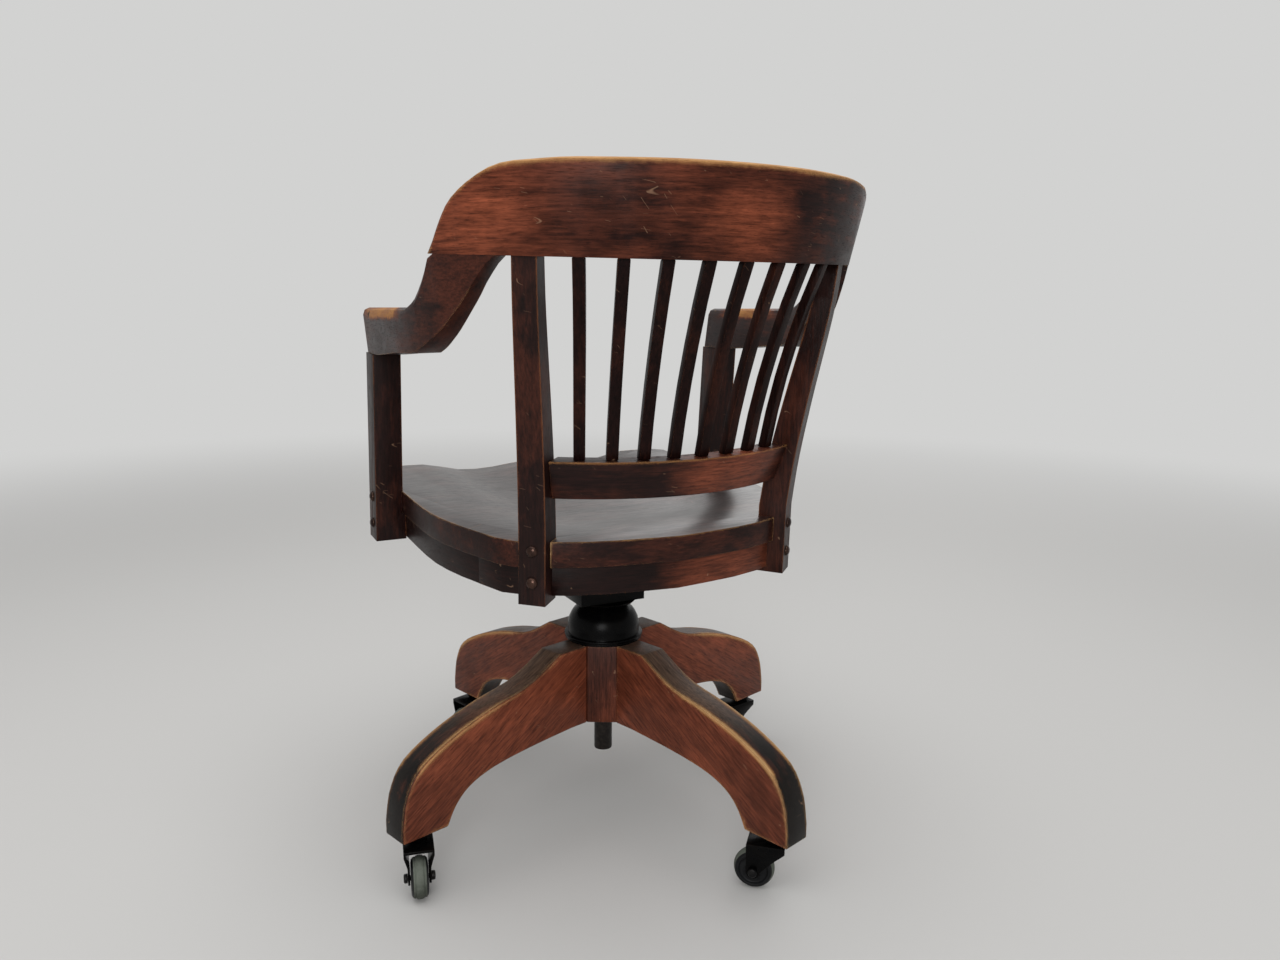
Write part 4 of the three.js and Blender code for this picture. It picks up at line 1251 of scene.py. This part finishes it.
def dress_legs():
    second_leg_turn = first_leg_turn + quarter_turn
    one = leg_wood("leg_wood_one", redness=0.75, shift=8.2, turn=first_leg_turn)
    two = leg_wood("leg_wood_two", redness=0.62, shift=9.4, turn=second_leg_turn)
    legs = [one, two, one, two]
    for number, finish in enumerate(legs, start=1):
        dress(f"leg_{number}", finish, leg_round)


dress("hub", hub_wood(), hub_round)
dress_legs()
print("dressed the base")

# %% [markdown]
# The metal. The tilt iron, the domed nut and the casters' forks are black castings, the
# pins and the spindle are old steel, and the bolts through the posts are bronzed. Cast
# edges are rounder than turned ones, so each piece has its own radius.

# %% Metal pieces
# Of each: its finish and the radius of its edges.
metal = {
    "tilt_yoke": (black_paint, 0.0009),
    "seat_iron": (black_paint, 0.0009),
    "adjusting_nut": (black_paint, 0.0009),
    "thrust_washer": (black_paint, 0.0005),
    "tension_knob": (black_paint, 0.0008),
    "pivot_pin": (old_steel, 0.0005),
    "tension_rod": (old_steel, 0.0004),
    "screw_spindle": (old_steel, 0.0005),
    "column_sleeve": (old_steel, 0.0005),
}
# Of each: how the names of the pieces start, their finish and their radius.
repeated_metal = [
    ("bolt_", bolt_bronze, 0.0005),
    ("caster_fork", black_paint, 0.0004),
    ("caster_stem", black_paint, 0.0004),
    ("caster_axle", rivet_steel, 0.0004),
]


def dress_repeated(start, finish, radius):
    for name in nodes:
        if name.startswith(start):
            dress(name, finish, radius, steps=small_steps)


for name, (finish, radius) in metal.items():
    dress(name, finish, radius, steps=small_steps)
for start, finish, radius in repeated_metal:
    dress_repeated(start, finish, radius)
print("dressed the metal")

# %% [markdown]
# The tension spring is round steel wire wound about the rod. A curve with a round bevel
# would do, but the spring shortens as the seat tilts, and that needs a mesh, so the wire
# is swept by hand: a small ring is carried along the coil's line. Its first and last curls
# lie flat against their seats, as a ground spring's ends do.

# %% Line of the spring
wire_radius = 0.0017
spring_curls = 6.0
end_curls = 0.75
steps_each_curl = 40
even_share = 0.7
eased_share = 0.3


def eased(share):
    """A smooth rise from 0 to 1."""
    return share * share * (3 - 2 * share)


def spring_point(share, low, high, radius):
    """A point of the wire's middle: flat end curls and a nearly even climb between them."""
    turn = share * spring_curls * whole_turn
    climb_from = end_curls / spring_curls
    climb = (share - climb_from) / (1 - 2 * climb_from)
    climb = min(max(climb, 0.0), 1.0)
    climb = eased(climb) * eased_share + climb * even_share
    return Vector((radius * math.cos(turn), radius * math.sin(turn), low + (high - low) * climb))


def spring_line(low, high, radius):
    steps = int(spring_curls * steps_each_curl)
    return [spring_point(step / steps, low, high, radius) for step in range(steps + 1)]


print("the spring has", spring_curls, "curls")

# %% Sweep a ring along a line
wire_sides = 12


def finish_mesh(name, shape, finishes):
    """A piece from a finished shape, with its faces turned outwards and shaded smoothly."""
    bmesh.ops.recalc_face_normals(shape, faces=shape.faces)
    mesh = bpy.data.meshes.new(name)
    shape.to_mesh(mesh)
    shape.free()
    for face in mesh.polygons:
        face.use_smooth = True
    for finish in finishes:
        mesh.materials.append(finish)
    piece = bpy.data.objects.new(name, mesh)
    bpy.context.scene.collection.objects.link(piece)
    return piece


def ring_about(shape, before, middle, after):
    """A ring of corners about the wire's middle, square to the way the wire goes."""
    ahead = (after - before).normalized()
    out = Vector((middle.x, middle.y, 0)).normalized()
    over = ahead.cross(out).normalized()
    out = over.cross(ahead)
    ring = []
    for side in range(wire_sides):
        roll = whole_turn * side / wire_sides
        reach = (out * math.cos(roll) + over * math.sin(roll)) * wire_radius
        ring.append(shape.verts.new(middle + reach))
    return ring


def swept(name, line, finish):
    """A round wire along a line, closed at both ends."""
    shape = bmesh.new()
    rings = []
    for at, middle in enumerate(line):
        before = line[max(at - 1, 0)]
        after = line[min(at + 1, len(line) - 1)]
        rings.append(ring_about(shape, before, middle, after))
    for ring, following in zip(rings, rings[1:]):
        for side in range(wire_sides):
            after = (side + 1) % wire_sides
            shape.faces.new((ring[side], ring[after], following[after], following[side]))
    shape.faces.new(rings[0][::-1])
    shape.faces.new(rings[-1])
    return finish_mesh(name, shape, [finish])


spring_low, spring_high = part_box("tension_spring")
spring_middle = (spring_low + spring_high) / 2
spring_outer = (spring_high.x - spring_low.x) / 2


def wind_spring():
    low = spring_low.z + wire_radius
    high = spring_high.z - wire_radius
    centre = Vector((spring_middle.x, joints["knob_turn"]["pos_m"][1], 0))
    line = [point + centre for point in spring_line(low, high, spring_outer - wire_radius)]
    return swept("wound_spring", line, old_steel)


spring = wind_spring()
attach(spring, "yoke")
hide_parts("tension_spring")
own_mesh(spring)

# %% [markdown]
# A caster wheel is a black wheel with a sunk web, and only its tread is worn to grey rubber.
# One half of its section, from the bore out to the tread, is mirrored and spun about the
# axle. A Screw modifier would spin it too, but faces made one by one can take two colours:
# a fine groove runs round the crown on each side of the tread, the faces between the two
# grooves take the grey rubber, and all the others the black.

# %% Section of a caster wheel
tyre_share = 0.79
tread_depth = 0.0023
# Of each corner: how far out it is, and its share of the wheel's half width.
# The first rows are measured out from the bore, the next from the tyre's seat, the last
# from the wheel's own radius.
web_rows = [(0.0, 0.98), (0.0012, 1.0), (0.0042, 1.0), (0.0052, 0.93), (0.0058, 0.74)]
seat_rows = [
    (-0.0034, 0.70),
    (-0.0024, 0.76),
    (-0.0018, 0.94),
    (-0.0010, 0.985),
    (-0.0003, 0.95),
    (0.0, 0.9),
    (0.0004, 0.94),
    (0.0012, 0.93),
]
crown_rows = [
    (-0.0031, 0.85),
    (-0.0022, 0.75),
    (-0.0015, 0.63),
    (-0.0013, 0.58),
    (-0.0020, 0.55),
    (-0.0020, 0.48),
    (-0.0009, 0.45),
    (-0.0004, 0.28),
    (0.0, 0.08),
]


def corners(start, rows, half):
    return [(start + out, half * share) for out, share in rows]


def wheel_section(radius, half, bore):
    """The whole section: distance from the axle, and distance from the wheel's middle."""
    near = corners(bore, web_rows, half)
    near += corners(radius * tyre_share, seat_rows, half)
    near += corners(radius, crown_rows, half)
    return near + [(out, -across) for out, across in reversed(near)]


print("half a wheel's section has", len(web_rows + seat_rows + crown_rows), "corners")

# %% Spin a wheel
wheel_steps = 72
tread_slot = 0
black_slot = 1


def wheel_rings(shape, section, place):
    rings = []
    for step in range(wheel_steps):
        angle = whole_turn * step / wheel_steps
        cosine = math.cos(angle)
        sine = math.sin(angle)
        points = [Vector((out * cosine, out * sine, across)) for out, across in section]
        rings.append([shape.verts.new(place @ point) for point in points])
    return rings


def join_rings(shape, section, ring, following, tread_from):
    for at, corner in enumerate(section):
        after = (at + 1) % len(section)
        face = shape.faces.new((ring[at], ring[after], following[after], following[at]))
        on_tread = min(corner[0], section[after][0]) >= tread_from
        face.material_index = tread_slot if on_tread else black_slot


def spin_wheel(name, middle, axis, radius, half, bore):
    shape = bmesh.new()
    section = wheel_section(radius, half, bore)
    turn = straight_up.rotation_difference(axis).to_matrix().to_4x4()
    rings = wheel_rings(shape, section, Matrix.Translation(middle) @ turn)
    for step, ring in enumerate(rings):
        following = rings[(step + 1) % wheel_steps]
        join_rings(shape, section, ring, following, radius - tread_depth)
    return finish_mesh(name, shape, [worn_tread, wheel_black])


# %% Caster wheels
caster_numbers = (1, 2, 3, 4)


def wheel_sizes(name, middle, axis):
    """Radius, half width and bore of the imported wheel."""
    offsets = [vertex.co - middle for vertex in nodes[name].data.vertices]
    across = [offset.dot(axis) for offset in offsets]
    out = [(offset - axis * offset.dot(axis)).length for offset in offsets]
    return max(out), max(across), min(out)


for number in caster_numbers:
    joint = joints[f"wheel_{number}_roll"]
    middle = Vector(joint["pos_m"])
    axis = Vector(joint["axis"]).normalized()
    radius, half, bore = wheel_sizes(f"caster_wheel_{number}", middle, axis)
    wheel = spin_wheel(f"rolling_wheel_{number}", middle, axis, radius, half, bore)
    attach(wheel, f"wheel_{number}")
    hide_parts(f"caster_wheel_{number}")
    print("wheel radius", radius / millimetre, "mm, half width", half / millimetre, "mm")
